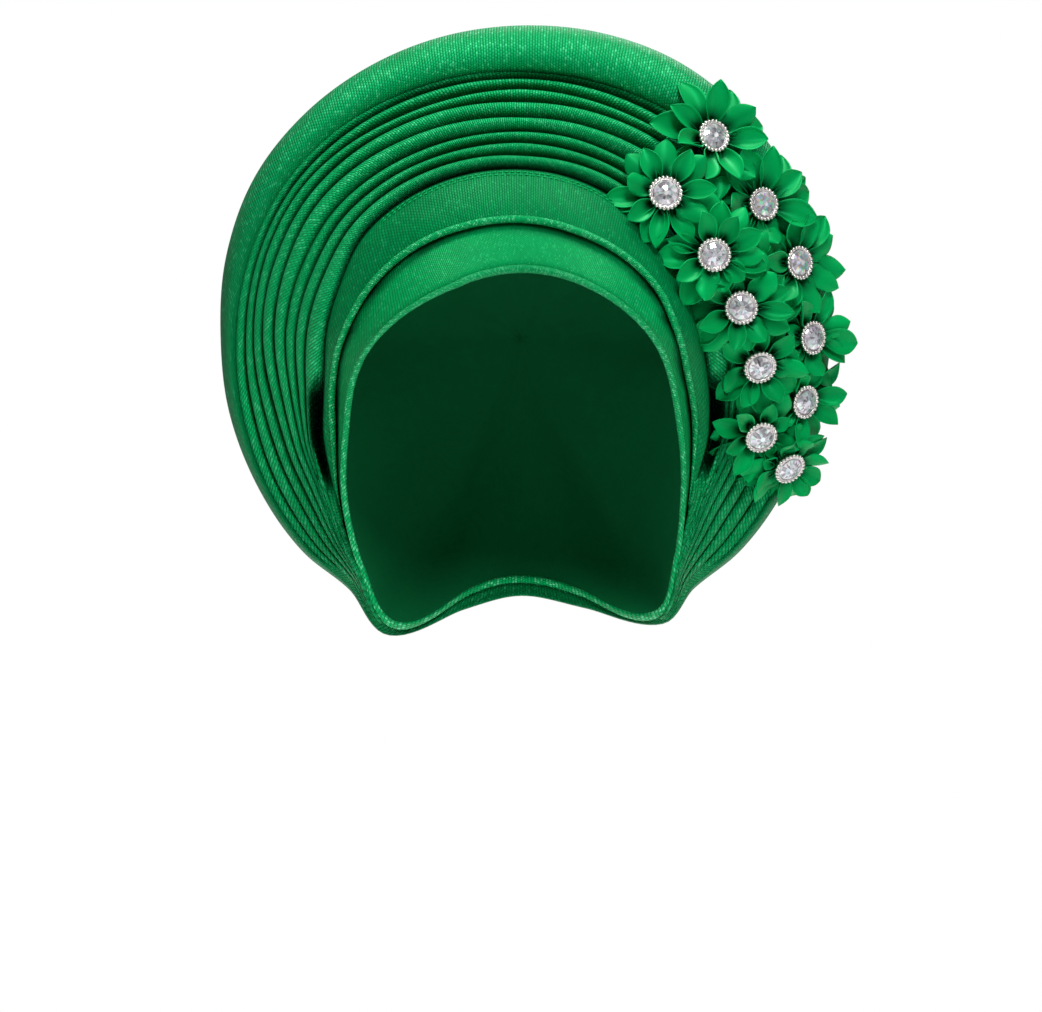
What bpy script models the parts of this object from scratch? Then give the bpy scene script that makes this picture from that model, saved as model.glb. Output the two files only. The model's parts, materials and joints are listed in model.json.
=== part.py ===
"""Ready-tied gele head tie with a side spray of ribbon flowers.

Metres, +Z up. The face looks along -Y and +X is to the right as seen from the front. The origin is at
the crown of the head, inside the cap. Every cloth piece is built on sections that stand in half planes
around the halo's axis, which runs along Y: angle 0 is straight up and 90 degrees is to the right.
"""

import math
from collections import namedtuple

import bmesh
import bpy
from mathutils import Matrix, Vector
from mathutils.bvhtree import BVHTree

# Main sizes of the tied cloth
HALO_RADIUS = 0.1224
HALO_DROP = 0.0628
CROWN_BACK = 0.118
CAP_HALF_WIDTH = 0.079
CAP_HALF_LENGTH = 0.098
CAP_MIDDLE = 0.006

# Walls and clearances
CLOTH_WALL = 0.002
BAND_WALL = 0.002
SEAT_GAP = 0.0003
FAN_GAP = 0.0005

# Pleats
PLEAT_DEPTH = 0.0042
CREASE_SHARE = 0.14
FACE_SHARE = 0.55
FACE_SINK = 0.25
END_FADE = 0.45
FADE_SPREAD = 40.0
POCKET_DEPTH = 0.010
POCKET_ANGLE = 117.0
POCKET_SPREAD = 20.0

# How far the brow band bulges half way up, to the outside and to the front, as shares of its width
BAND_BULGE = (0.03, -0.06)

# Crown roll: where its points lie in degrees from its edge to the outline, how flat it starts, and how
# far its wall leans over the fan as a share of the wall
ROLL_SWINGS = (0, 25, 58)
ROLL_FLATNESS = 1.5
LIP_LEAN = 0.35

# Flowers, their settings and stones
FLOWER_RADIUS = 0.0215
PETALS = 8
PETAL_WALL = 0.0014
PETAL_RISE = 0.0035
FOOT_RADIUS = 0.0075
FOOT_HEIGHT = 0.0030
FLOWER_GAP = 0.0006
SETTING_RADIUS = 0.0066
SETTING_HEIGHT = 0.0030
SETTING_FLOOR = 0.0008
RIM_WALL = 0.0013
STONE_GAP = 0.0003
STONE_RISE = 0.0016
STONE_SIDES = 12

# The stone's profile as shares of its girdle's radius: foot, girdle, upper facets' edge and table
STONE_FOOT = 0.70
STONE_GIRDLE = 0.96
STONE_SHOULDER = 0.82
STONE_TABLE = 0.55

# One petal's outline: the share of its turn, of its reach and of its rise
PETAL_OUTLINE = [(0.0, 0.60, 0.6), (0.25, 0.88, 0.9), (0.5, 1.0, 0.8), (0.75, 0.88, 0.9)]

# Resolution of the faceted solids
COLUMNS = 54
FAN_STEPS = 22
BAND_STEPS = 19
CAP_RINGS = 7
BACK_RINGS = 6

# Sections round the halo. The angle is in degrees. girth is the cap's half width there as a share of
# CAP_HALF_WIDTH. hem and band are the places of the cap's hem and of the brow band's lower edge, as
# angles from the widest place of the cap's section, negative towards the face. inner, roll and crest
# are radii as shares of HALO_RADIUS: the fan's inner edge, the crown roll's edge and the outline. The
# three depths are shares of CROWN_BACK, negative to the front.
Section = namedtuple(
    "Section", "angle girth hem band inner roll crest inner_depth roll_depth crest_depth"
)
SECTIONS = [
    Section(-180, 1.478, 31.0, 34.0, 0.850, 0.862, 0.870, 0.440, 0.460, 0.512),
    Section(-168, 1.490, 23.5, 26.5, 0.910, 0.928, 0.936, 0.340, 0.360, 0.415),
    Section(-156, 1.633, 1.2, 3.0, 1.060, 1.084, 1.090, 0.085, 0.093, 0.136),
    Section(-146, 1.470, -6.2, -3.0, 0.970, 1.003, 1.020, 0.020, 0.068, 0.140),
    Section(-135, 1.299, -11.8, -6.5, 0.860, 0.997, 1.022, -0.030, 0.068, 0.170),
    Section(-120, 1.105, -20.3, -12.0, 0.752, 0.980, 1.010, -0.100, 0.050, 0.186),
    Section(-105, 1.022, -31.3, -23.9, 0.690, 0.958, 1.000, -0.215, 0.010, 0.182),
    Section(-90, 1.013, -47.8, -31.0, 0.631, 0.941, 0.988, -0.322, -0.034, 0.170),
    Section(-60, 0.924, -61.0, -40.4, 0.600, 0.920, 1.010, -0.390, -0.150, 0.090),
    Section(-30, 0.854, -64.8, -44.4, 0.549, 0.881, 1.000, -0.450, -0.220, 0.020),
    Section(0, 0.823, -68.3, -50.0, 0.520, 0.858, 1.000, -0.475, -0.237, 0.000),
    Section(30, 0.829, -66.6, -47.0, 0.520, 0.868, 1.020, -0.450, -0.220, 0.020),
    Section(60, 0.873, -61.7, -43.6, 0.530, 0.900, 1.014, -0.390, -0.150, 0.090),
    Section(90, 0.956, -50.0, -37.7, 0.578, 0.935, 1.012, -0.330, -0.034, 0.170),
    Section(105, 0.941, -36.3, -26.7, 0.630, 0.955, 1.010, -0.250, 0.010, 0.182),
    Section(120, 1.020, -25.4, -14.6, 0.708, 0.975, 1.010, -0.140, 0.050, 0.186),
    Section(135, 1.206, -15.4, -9.0, 0.822, 0.992, 1.018, -0.050, 0.068, 0.170),
    Section(146, 1.420, -8.0, -5.0, 0.945, 0.996, 1.016, 0.010, 0.068, 0.140),
    Section(154, 1.595, -0.5, 2.0, 1.035, 1.058, 1.066, 0.075, 0.085, 0.130),
    Section(167, 1.486, 22.5, 25.5, 0.910, 0.926, 0.934, 0.330, 0.352, 0.410),
]

# Where each pleat starts, from the crown roll inwards, as a share of the fan's width
PLEAT_STARTS = [0.0, 0.106, 0.205, 0.320, 0.465, 0.615, 0.735, 0.858]

# The spray of flowers: the place of each stone as an angle in degrees and a share of HALO_RADIUS, how
# far the flower turns to the side and down in degrees, and its reach as a share of FLOWER_RADIUS
Flower = namedtuple("Flower", "angle reach turn nod size")
FLOWERS = [
    Flower(44.6, 0.899, 26, -14, 1.08),
    Flower(46.4, 0.645, 6, -8, 1.00),
    Flower(62.2, 0.898, 30, -6, 1.08),
    Flower(68.6, 0.671, 8, 0, 1.02),
    Flower(76.0, 0.943, 40, -2, 1.00),
    Flower(84.0, 0.719, 12, 4, 1.00),
    Flower(91.0, 0.961, 42, 4, 0.95),
    Flower(98.8, 0.790, 16, 22, 0.98),
    Flower(103.7, 0.965, 42, 12, 0.92),
    Flower(113.9, 0.862, 20, 30, 0.88),
    Flower(117.0, 0.994, 34, 34, 0.84),
]

CLOTH_COLOUR = (0.003, 0.300, 0.085)
PLEAT_COLOUR = (0.002, 0.220, 0.060)
SATIN_COLOUR = (0.002, 0.360, 0.100)
SILVER_COLOUR = (0.75, 0.76, 0.78)
CRYSTAL_COLOUR = (0.88, 0.90, 0.94)


def clear_scene():
    for obj in list(bpy.data.objects):
        bpy.data.objects.remove(obj, do_unlink=True)


def make_material(name, colour, roughness, metallic=0.0):
    material = bpy.data.materials.new(name)
    material.use_nodes = True
    shader = material.node_tree.nodes["Principled BSDF"]
    shader.inputs["Base Color"].default_value = (*colour, 1.0)
    shader.inputs["Roughness"].default_value = roughness
    shader.inputs["Metallic"].default_value = metallic
    return material


def section_at(angle):
    """The section at any angle, on a smooth curve through the rows of the table."""
    count = len(SECTIONS)
    angle = (angle + 180.0) % 360.0 - 180.0
    index = max(i for i in range(count) if SECTIONS[i].angle <= angle + 1e-9)
    rows = [SECTIONS[(index + step) % count] for step in (-1, 0, 1, 2)]
    places = [row.angle + 360.0 * ((index + step) // count) for row, step in zip(rows, (-1, 0, 1, 2))]
    span = places[2] - places[1]
    t = (angle - places[1]) / span
    values = [angle]
    for column in Section._fields[1:]:
        before, start, end, after = (getattr(row, column) for row in rows)
        slope_in = (end - before) / (places[2] - places[0]) * span
        slope_out = (after - start) / (places[3] - places[1]) * span
        values.append(
            (2 * t**3 - 3 * t**2 + 1) * start
            + (t**3 - 2 * t**2 + t) * slope_in
            + (3 * t**2 - 2 * t**3) * end
            + (t**3 - t**2) * slope_out
        )
    return Section(*values)


def place(angle, radius, depth):
    """A point of a section: its angle round the halo, its distance from the axis and its depth."""
    turn = math.radians(angle)
    return Vector((radius * math.sin(turn), depth, radius * math.cos(turn) - HALO_DROP))


def column_angles(steps):
    return [i * 360.0 / COLUMNS for i in range(-steps, steps + 1)]


def cap_point(section, swing, proud=0.0):
    """A point on the cap's section at an angle from its widest place, or proud of it."""
    girth = section.girth * CAP_HALF_WIDTH
    across = math.cos(swing)
    along = math.sin(swing)
    normal = Vector((across / girth, along / CAP_HALF_LENGTH)).normalized()
    radius = girth * across + normal.x * proud
    depth = CAP_MIDDLE + CAP_HALF_LENGTH * along + normal.y * proud
    return radius, depth


def cap_profile(section):
    """The cap's outer side from its hem nearly to the back pole."""
    hem = math.radians(section.hem)
    steps = [hem + (math.pi / 2 - hem) * i / CAP_RINGS for i in range(CAP_RINGS)]
    return [cap_point(section, swing) for swing in steps]


def band_profile(section):
    """The brow band's outer side, from its lower edge on the cap to the fan."""
    low = Vector(cap_point(section, math.radians(section.band), BAND_WALL + SEAT_GAP))
    high = Vector((section.inner * HALO_RADIUS - FAN_GAP, section.inner_depth * CROWN_BACK))
    middle = (low + high) / 2 + Vector(BAND_BULGE) * (high - low).length
    return [tuple(low), tuple(middle), tuple(high)]


def pocket_share(angle):
    """How far the fan's inner crease sinks beside the cheeks, from 0 to 1."""
    return max(0.0, 1.0 - ((abs(angle) - POCKET_ANGLE) / POCKET_SPREAD) ** 2)


def fan_depth(section, share):
    """Depth of the fan's crests at a share of its width, counted from the crown roll inwards."""
    return CROWN_BACK * (section.roll_depth + (section.inner_depth - section.roll_depth) * share)


def fan_profile(section, fade):
    """The fan's closed section: eight pleats in front, a smooth back a wall behind their creases."""
    outer = section.roll * HALO_RADIUS - FAN_GAP - LIP_LEAN * CLOTH_WALL
    width = outer - section.inner * HALO_RADIUS
    depth = PLEAT_DEPTH * fade
    ends = PLEAT_STARTS[1:] + [1.0]
    front = []
    back = []
    for start, end in zip(PLEAT_STARTS, ends):
        crest = start + CREASE_SHARE * (end - start)
        middle = start + FACE_SHARE * (end - start)
        front.append((outer - width * start, fan_depth(section, start) + depth))
        front.append((outer - width * crest, fan_depth(section, crest)))
        front.append((outer - width * middle, fan_depth(section, middle) + FACE_SINK * depth))
        back.append((outer - width * start, fan_depth(section, start) + depth + CLOTH_WALL))
    sink = CLOTH_WALL / 2 + POCKET_DEPTH * pocket_share(section.angle)
    front.append((outer - width, fan_depth(section, 1.0) + sink))
    back.append((outer - width, fan_depth(section, 1.0) + sink + CLOTH_WALL))
    return front + back[::-1]


def crown_profile(section):
    """The crown's outer side: the rounded roll from its edge to the outline, then the plain back."""
    roll = section.roll * HALO_RADIUS
    crest = section.crest * HALO_RADIUS
    roll_depth = section.roll_depth * CROWN_BACK
    crest_depth = section.crest_depth * CROWN_BACK
    points = []
    for degrees in ROLL_SWINGS:
        swing = math.radians(degrees)
        radius = roll + (crest - roll) * math.sin(swing)
        share = (1 - math.cos(swing)) ** ROLL_FLATNESS
        points.append((radius, roll_depth + (crest_depth - roll_depth) * share))
    for i in range(BACK_RINGS):
        swing = math.pi / 2 * i / BACK_RINGS
        depth = crest_depth + (CROWN_BACK - crest_depth) * math.sin(swing)
        points.append((crest * math.cos(swing), depth))
    return points


def new_object(name, mesh_maker, material):
    mesh = bpy.data.meshes.new(name)
    mesh_maker.normal_update()
    mesh_maker.to_mesh(mesh)
    mesh_maker.free()
    obj = bpy.data.objects.new(name, mesh)
    bpy.context.scene.collection.objects.link(obj)
    mesh.materials.append(material)
    return obj


def add_wall(obj, thickness):
    """Gives a single outer skin its wall, on the inner side."""
    wall = obj.modifiers.new("wall", "SOLIDIFY")
    wall.thickness = thickness
    wall.offset = -1.0
    wall.use_even_offset = True
    wall.use_rim = True


def skin_over(profiles, pole=None):
    """A skin through neighbouring profiles. With a pole it closes round and to that point."""
    bm = bmesh.new()
    columns = [[bm.verts.new(point) for point in profile] for profile in profiles]
    pairs = list(zip(columns, columns[1:]))
    if pole is not None:
        pairs.append((columns[-1], columns[0]))
    for left, right in pairs:
        for i in range(len(left) - 1):
            bm.faces.new((left[i], right[i], right[i + 1], left[i + 1]))
    if pole is not None:
        tip = bm.verts.new(pole)
        for left, right in pairs:
            bm.faces.new((left[-1], right[-1], tip))
    bm.normal_update()
    return bm


def turn_outward(bm, towards):
    """Turns all faces over where the first one looks away from the way given."""
    bm.faces.ensure_lookup_table()
    if bm.faces[0].normal.dot(towards) < 0:
        bmesh.ops.reverse_faces(bm, faces=bm.faces[:])


def shade(obj):
    obj.data.shade_smooth()
    obj.data.set_sharp_from_angle(angle=math.radians(40))


def make_head_cap(material):
    sections = [section_at(angle) for angle in column_angles(COLUMNS // 2)[:-1]]
    profiles = [[place(s.angle, *point) for point in cap_profile(s)] for s in sections]
    bm = skin_over(profiles, Vector((0.0, CAP_MIDDLE + CAP_HALF_LENGTH, -HALO_DROP)))
    bm.verts.ensure_lookup_table()
    turn_outward(bm, bm.verts[0].co - Vector((0.0, bm.verts[0].co.y, -HALO_DROP)))
    obj = new_object("head_cap", bm, material)
    add_wall(obj, CLOTH_WALL)
    shade(obj)
    return obj


def make_brow_band(material):
    profiles = [
        [place(angle, *point) for point in band_profile(section_at(angle))]
        for angle in column_angles(BAND_STEPS)
    ]
    bm = skin_over(profiles)
    turn_outward(bm, Vector((0.0, -1.0, 0.0)))
    obj = new_object("brow_band", bm, material)
    add_wall(obj, BAND_WALL)
    shade(obj)
    return obj


def make_pleated_fan(material):
    angles = column_angles(FAN_STEPS)
    bm = bmesh.new()
    loops = []
    for angle in angles:
        fade = min(1.0, END_FADE + (angles[-1] - abs(angle)) / FADE_SPREAD)
        profile = fan_profile(section_at(angle), fade)
        loops.append([bm.verts.new(place(angle, *point)) for point in profile])
    for left, right in zip(loops, loops[1:]):
        for i in range(len(left)):
            j = (i + 1) % len(left)
            bm.faces.new((left[i], left[j], right[j], right[i]))
    bm.faces.new(loops[0][::-1])
    bm.faces.new(loops[-1])
    bmesh.ops.recalc_face_normals(bm, faces=bm.faces[:])
    obj = new_object("pleated_fan", bm, material)
    shade(obj)
    return obj


def make_crown_roll(material):
    sections = [section_at(angle) for angle in column_angles(COLUMNS // 2)[:-1]]
    profiles = [[place(s.angle, *point) for point in crown_profile(s)] for s in sections]
    bm = skin_over(profiles, Vector((0.0, CROWN_BACK, -HALO_DROP)))
    bm.faces.ensure_lookup_table()
    outward = bm.faces[0].calc_center_median() - Vector((0.0, 0.0, -HALO_DROP))
    turn_outward(bm, Vector((outward.x, 0.0, outward.z)))
    obj = new_object("crown_roll", bm, material)
    add_wall(obj, CLOTH_WALL)
    shade(obj)
    return obj


def flower_frame(flower):
    """The flower's own axes at its stone: x to its right, y up its face, z out of its face."""
    turn = Matrix.Rotation(math.radians(flower.turn), 4, "Z")
    nod = Matrix.Rotation(math.radians(90 + flower.nod), 4, "X")
    top = FOOT_HEIGHT + SEAT_GAP + SETTING_HEIGHT
    return Matrix.Translation(place(flower.angle, flower.reach * HALO_RADIUS, 0.0)) @ turn @ nod @ (
        Matrix.Translation((0.0, 0.0, -top))
    )


def petal_rim(flower):
    """One flower's rim in its own plane as (direction, radius, height), four points a petal."""
    rim = []
    for petal in range(PETALS):
        for share, radius, height in PETAL_OUTLINE:
            turn = 2 * math.pi * (petal + share) / PETALS
            direction = Vector((math.cos(turn), math.sin(turn), 0.0))
            rim.append((direction, radius * flower.size * FLOWER_RADIUS, height * PETAL_RISE))
    return rim


def room_along(origin, direction, fences):
    """How far a point may go from origin along direction before it meets one of the fences."""
    room = float("inf")
    for middle, normal in fences:
        speed = direction.dot(normal)
        if speed > 1e-6:
            room = min(room, (middle - origin).dot(normal) / speed)
    return room


def flower_mesh(flower, frame, fences):
    """A cupped plate of petals round a flat foot, cut back where a neighbour's ground starts."""
    spin = frame.to_3x3()
    bm = bmesh.new()
    rings = [[], [], [], []]
    for direction, radius, height in petal_rim(flower):
        levels = [
            (FOOT_RADIUS, 0.0),
            (radius, FOOT_HEIGHT - PETAL_WALL + height),
            (radius, FOOT_HEIGHT + height),
            (FOOT_RADIUS, FOOT_HEIGHT),
        ]
        for ring, (reach, level) in zip(rings, levels):
            start = frame @ Vector((0.0, 0.0, level))
            reach = min(reach, room_along(start, spin @ direction, fences))
            ring.append(bm.verts.new(frame @ (direction * reach + Vector((0.0, 0.0, level)))))
    count = len(rings[0])
    for lower, upper in zip(rings, rings[1:]):
        for i in range(count):
            j = (i + 1) % count
            bm.faces.new((lower[i], lower[j], upper[j], upper[i]))
    for ring in (rings[0], rings[-1]):
        bm.faces.new(ring)
    bmesh.ops.recalc_face_normals(bm, faces=bm.faces[:])
    return bm


def slide_to_cloth(bm, cloth):
    """How far the flower may move back along +Y until it lies a seat gap off the cloth."""
    back = Vector((0.0, 1.0, 0.0))
    bm.normal_update()
    flower_tree = BVHTree.FromBMesh(bm)
    flower_points = [vertex.co for vertex in bm.verts]
    flower_points += [(edge.verts[0].co + edge.verts[1].co) / 2 for edge in bm.edges]
    gaps = []
    for tree, points in cloth:
        hits = [tree.ray_cast(point, back) for point in flower_points]
        hits += [flower_tree.ray_cast(point, -back) for point in points]
        gaps += [hit[3] for hit in hits if hit[0] is not None]
    return min(gaps) - 2 * SEAT_GAP


def fences_of(index, frames):
    """The planes half way to each neighbour, which keep the flowers apart."""
    middle = frames[index].translation
    fences = []
    for other, frame in enumerate(frames):
        if other == index:
            continue
        way = frame.translation - middle
        half = middle + way * 0.5
        fences.append((half - way.normalized() * FLOWER_GAP / 2, way.normalized()))
    return fences


def cloth_trees(pieces):
    """The cloth's finished meshes as search trees, with their points and edge middles."""
    graph = bpy.context.evaluated_depsgraph_get()
    trees = []
    for piece in pieces:
        mesh = piece.evaluated_get(graph).to_mesh()
        points = [piece.matrix_world @ vertex.co for vertex in mesh.vertices]
        faces = [tuple(face.vertices) for face in mesh.polygons]
        middles = [(points[edge.vertices[0]] + points[edge.vertices[1]]) / 2 for edge in mesh.edges]
        trees.append((BVHTree.FromPolygons(points, faces), points + middles))
        piece.evaluated_get(graph).to_mesh_clear()
    return trees


def seated_frames(cloth):
    """Each flower's frame after it has been laid back against the cloth."""
    start = Matrix.Translation((0.0, -3 * HALO_RADIUS, 0.0))
    frames = [start @ flower_frame(flower) for flower in FLOWERS]
    seated = []
    for index, flower in enumerate(FLOWERS):
        bm = flower_mesh(flower, frames[index], fences_of(index, frames))
        seated.append(Matrix.Translation((0.0, slide_to_cloth(bm, cloth), 0.0)) @ frames[index])
        bm.free()
    return seated


def turned_mesh(profile, sides):
    """A closed body turned round Z from (radius, height) points that start and end on the axis."""
    bm = bmesh.new()
    verts = [bm.verts.new((radius, 0.0, height)) for radius, height in profile]
    edges = [bm.edges.new(pair) for pair in zip(verts, verts[1:])]
    bmesh.ops.spin(
        bm,
        geom=verts + edges,
        cent=(0.0, 0.0, 0.0),
        axis=(0.0, 0.0, 1.0),
        angle=2 * math.pi,
        steps=sides,
        use_merge=True,
    )
    bmesh.ops.remove_doubles(bm, verts=bm.verts[:], dist=1e-6)
    bmesh.ops.recalc_face_normals(bm, faces=bm.faces[:])
    return bm


def setting_profile():
    """The setting's cup: a flat floor and a rim that stands round the stone."""
    inside = SETTING_RADIUS - RIM_WALL
    return [
        (0.0, 0.0),
        (0.92 * SETTING_RADIUS, 0.0),
        (SETTING_RADIUS, SETTING_HEIGHT),
        (inside, SETTING_HEIGHT),
        (0.75 * inside, SETTING_FLOOR),
        (0.0, SETTING_FLOOR),
    ]


def stone_profile():
    """The round stone: a short point below, a girdle, two tiers of facets and a flat table."""
    girdle = SETTING_RADIUS - RIM_WALL - STONE_GAP
    low = SETTING_FLOOR + STONE_GAP
    top = SETTING_HEIGHT + STONE_RISE
    return [
        (0.0, low),
        (STONE_FOOT * girdle, low),
        (STONE_GIRDLE * girdle, SETTING_HEIGHT),
        (STONE_SHOULDER * girdle, SETTING_HEIGHT + 0.6 * STONE_RISE),
        (STONE_TABLE * girdle, top),
        (0.0, top),
    ]


def make_flowers(cloth, satin, silver, crystal):
    frames = seated_frames(cloth)
    for index, (flower, frame) in enumerate(zip(FLOWERS, frames)):
        number = f"{index + 1:02d}"
        bm = flower_mesh(flower, frame, fences_of(index, frames))
        shade(new_object(f"flower_{number}", bm, satin))
        seat = frame @ Matrix.Translation((0.0, 0.0, FOOT_HEIGHT + SEAT_GAP))
        for kind, profile, material in (
            ("setting", setting_profile(), silver),
            ("stone", stone_profile(), crystal),
        ):
            body = turned_mesh(profile, STONE_SIDES)
            body.transform(seat)
            new_object(f"{kind}_{number}", body, material)


def main():
    clear_scene()
    cloth = make_material("glitter_cloth", CLOTH_COLOUR, 0.55)
    pleats = make_material("pleated_cloth", PLEAT_COLOUR, 0.55)
    satin = make_material("satin_ribbon", SATIN_COLOUR, 0.35)
    silver = make_material("silver_setting", SILVER_COLOUR, 0.25, 1.0)
    crystal = make_material("clear_crystal", CRYSTAL_COLOUR, 0.05)
    make_head_cap(cloth)
    band = make_brow_band(cloth)
    fan = make_pleated_fan(pleats)
    crown = make_crown_roll(cloth)
    bpy.context.view_layer.update()
    make_flowers(cloth_trees([band, fan, crown]), satin, silver, crystal)


main()
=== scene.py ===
"""Looks of a ready-tied gele head tie with a side spray of ribbon flowers.

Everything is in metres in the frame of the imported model: +Z up, the face looks along -Y, and the origin
is at the crown of the head. Cloth pieces are grids laid over sections that stand in half planes round
the halo's axis, which runs along Y. Angle 0 is straight up and 90 degrees is to the viewer's right.
"""

from __future__ import annotations

import json
import logging
import math
from dataclasses import dataclass
from enum import Enum
from typing import Callable, Iterable, NamedTuple, Sequence

import bmesh
import bpy
from mathutils import Matrix, Vector, noise

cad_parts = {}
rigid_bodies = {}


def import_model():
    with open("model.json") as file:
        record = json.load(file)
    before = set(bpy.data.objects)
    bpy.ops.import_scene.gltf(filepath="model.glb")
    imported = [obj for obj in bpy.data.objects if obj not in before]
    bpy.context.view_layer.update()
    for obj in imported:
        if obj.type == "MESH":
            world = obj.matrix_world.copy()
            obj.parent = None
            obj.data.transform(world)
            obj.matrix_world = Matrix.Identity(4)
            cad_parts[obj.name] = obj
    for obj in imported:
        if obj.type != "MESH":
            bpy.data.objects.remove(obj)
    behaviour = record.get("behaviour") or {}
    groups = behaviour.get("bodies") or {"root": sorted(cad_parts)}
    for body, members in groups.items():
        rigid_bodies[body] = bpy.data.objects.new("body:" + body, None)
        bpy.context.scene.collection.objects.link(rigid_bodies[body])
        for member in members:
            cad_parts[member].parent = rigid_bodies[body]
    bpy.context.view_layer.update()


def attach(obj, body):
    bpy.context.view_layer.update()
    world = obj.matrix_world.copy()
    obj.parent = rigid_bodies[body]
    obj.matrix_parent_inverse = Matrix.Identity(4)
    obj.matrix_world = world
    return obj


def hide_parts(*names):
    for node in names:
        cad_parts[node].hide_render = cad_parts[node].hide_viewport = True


LOG = logging.getLogger("gele")

MM = 0.001
ROOT = "root"

# Metres. Points that lie closer are one
TOUCHING = 1e-6

# The share of a grid's rows past which a row is the pole
AT_POLE = 1 - 1e-6

# Squares round a hem or a piping
TUBE_SIDES = 10

# Metres of cloth for each radian round the halo: on the cap, the brow band, the fan and the crown
CAP_GRAIN = 0.075
BAND_GRAIN = 0.07
FAN_GRAIN = 0.092
CROWN_GRAIN = 0.115

# Places of a colour Mix node's sockets, and of a Map Range node's
MIX_SHARE, MIX_START, MIX_END, MIXED = 0, 6, 7, 2
VALUE, FROM_MIN, FROM_MAX, TO_MIN, TO_MAX = 0, 1, 2, 3, 4


class Held(Enum):
    """How a sheet of cloth keeps its place."""

    FOLDED = "folded"
    GATHERED = "gathered"
    STRETCHED = "stretched"


class Slot(Enum):
    """The record's material slots."""

    CLOTH = "glitter_cloth"
    SATIN = "satin_ribbon"
    SILVER = "silver_setting"
    CRYSTAL = "crystal"


class Spot(NamedTuple):
    """One point of a cloth grid: where it lies, where it is on the flat cloth, and how dark it is painted:
    painted shade, with a random tone on petals.
    """

    place: Vector
    flat: tuple[float, float]
    shade: float


class Section(NamedTuple):
    """A half plane of the head tie. Angles in degrees, the rest as shares of named sizes."""

    angle: float
    girth: float
    hem: float
    band: float
    inner: float
    roll: float
    crest: float
    inner_depth: float
    roll_depth: float
    crest_depth: float


class Creases(NamedTuple):
    """Where the eight pleats start at an angle from the top, as shares of the fan's width."""

    angle: float
    first: float
    second: float
    third: float
    fourth: float
    fifth: float
    sixth: float
    seventh: float
    eighth: float


class FoldPoint(NamedTuple):
    """One point of a pleat's section, at the top and at the sides of the halo.

    The steps are shares of the pleat's width, inwards. The sinks are shares of the crease's depth.
    """

    step: float
    sink: float
    side_step: float
    side_sink: float


class PetalLayer(NamedTuple):
    """One ring of petals: its count, size, root height in metres, tilt in radians and shift in petals."""

    petals: int
    scale: float
    lift: float
    tilt: float
    shift: float


class Flower(NamedTuple):
    """One flower: how it faces, turned and nodded in degrees, and its size as a share."""

    turn: float
    nod: float
    size: float


class Cut(NamedTuple):
    """One ring of a stone's facets: its radius as a share, height in millimetres and shift in sides."""

    radius: float
    height: float
    shift: float


class Lamp(NamedTuple):
    """A round soft light: its place and width in metres, and its power in watts."""

    name: str
    spot: tuple[float, float, float]
    width: float
    power: float


# Round the halo from the nape, past the viewer's left, over the top and down the right
SECTIONS: Sequence[Section] = (
    Section(-180, 1.478, 31.0, 34.0, 0.850, 0.862, 0.870, 0.440, 0.460, 0.512),
    Section(-168, 1.490, 23.5, 26.5, 0.910, 0.928, 0.936, 0.340, 0.360, 0.415),
    Section(-156, 1.633, 1.2, 3.0, 1.060, 1.084, 1.090, 0.085, 0.093, 0.136),
    Section(-146, 1.470, -6.2, -3.0, 0.970, 1.003, 1.020, 0.020, 0.068, 0.140),
    Section(-135, 1.299, -11.8, -6.5, 0.860, 0.997, 1.022, -0.030, 0.068, 0.170),
    Section(-120, 1.105, -20.3, -12.0, 0.752, 0.980, 1.010, -0.100, 0.050, 0.186),
    Section(-105, 1.022, -30.6, -19.6, 0.670, 0.958, 1.000, -0.215, 0.010, 0.182),
    Section(-90, 1.013, -46.7, -31.4, 0.636, 0.941, 0.988, -0.322, -0.034, 0.170),
    Section(-75, 0.970, -57.1, -37.1, 0.610, 0.931, 0.999, -0.363, -0.094, 0.132),
    Section(-60, 0.924, -63.3, -41.5, 0.600, 0.920, 1.010, -0.390, -0.150, 0.090),
    Section(-45, 0.885, -66.1, -45.3, 0.574, 0.901, 1.006, -0.423, -0.191, 0.051),
    Section(-30, 0.854, -67.8, -48.2, 0.549, 0.881, 1.000, -0.450, -0.220, 0.020),
    Section(-15, 0.834, -68.6, -49.8, 0.531, 0.866, 0.998, -0.468, -0.234, 0.004),
    Section(0, 0.823, -68.7, -50.4, 0.520, 0.858, 1.000, -0.475, -0.237, 0.000),
    Section(15, 0.821, -68.2, -50.3, 0.518, 0.860, 1.010, -0.468, -0.234, 0.004),
    Section(30, 0.829, -67.0, -49.4, 0.520, 0.868, 1.020, -0.450, -0.220, 0.020),
    Section(45, 0.846, -64.9, -47.1, 0.522, 0.882, 1.018, -0.422, -0.191, 0.051),
    Section(60, 0.873, -61.6, -43.9, 0.530, 0.900, 1.014, -0.390, -0.150, 0.090),
    Section(75, 0.917, -56.7, -41.0, 0.549, 0.917, 1.013, -0.364, -0.094, 0.132),
    Section(90, 0.956, -48.8, -38.2, 0.578, 0.935, 1.012, -0.330, -0.034, 0.170),
    Section(105, 0.941, -35.0, -27.1, 0.630, 0.955, 1.010, -0.250, 0.010, 0.182),
    Section(120, 1.020, -25.4, -14.6, 0.708, 0.975, 1.010, -0.140, 0.050, 0.186),
    Section(135, 1.206, -15.4, -9.0, 0.822, 0.992, 1.018, -0.050, 0.068, 0.170),
    Section(146, 1.420, -8.0, -5.0, 0.945, 0.996, 1.016, 0.010, 0.068, 0.140),
    Section(154, 1.595, -0.5, 2.0, 1.035, 1.058, 1.066, 0.075, 0.085, 0.130),
    Section(167, 1.486, 22.5, 25.5, 0.910, 0.926, 0.934, 0.330, 0.352, 0.410),
)

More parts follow.
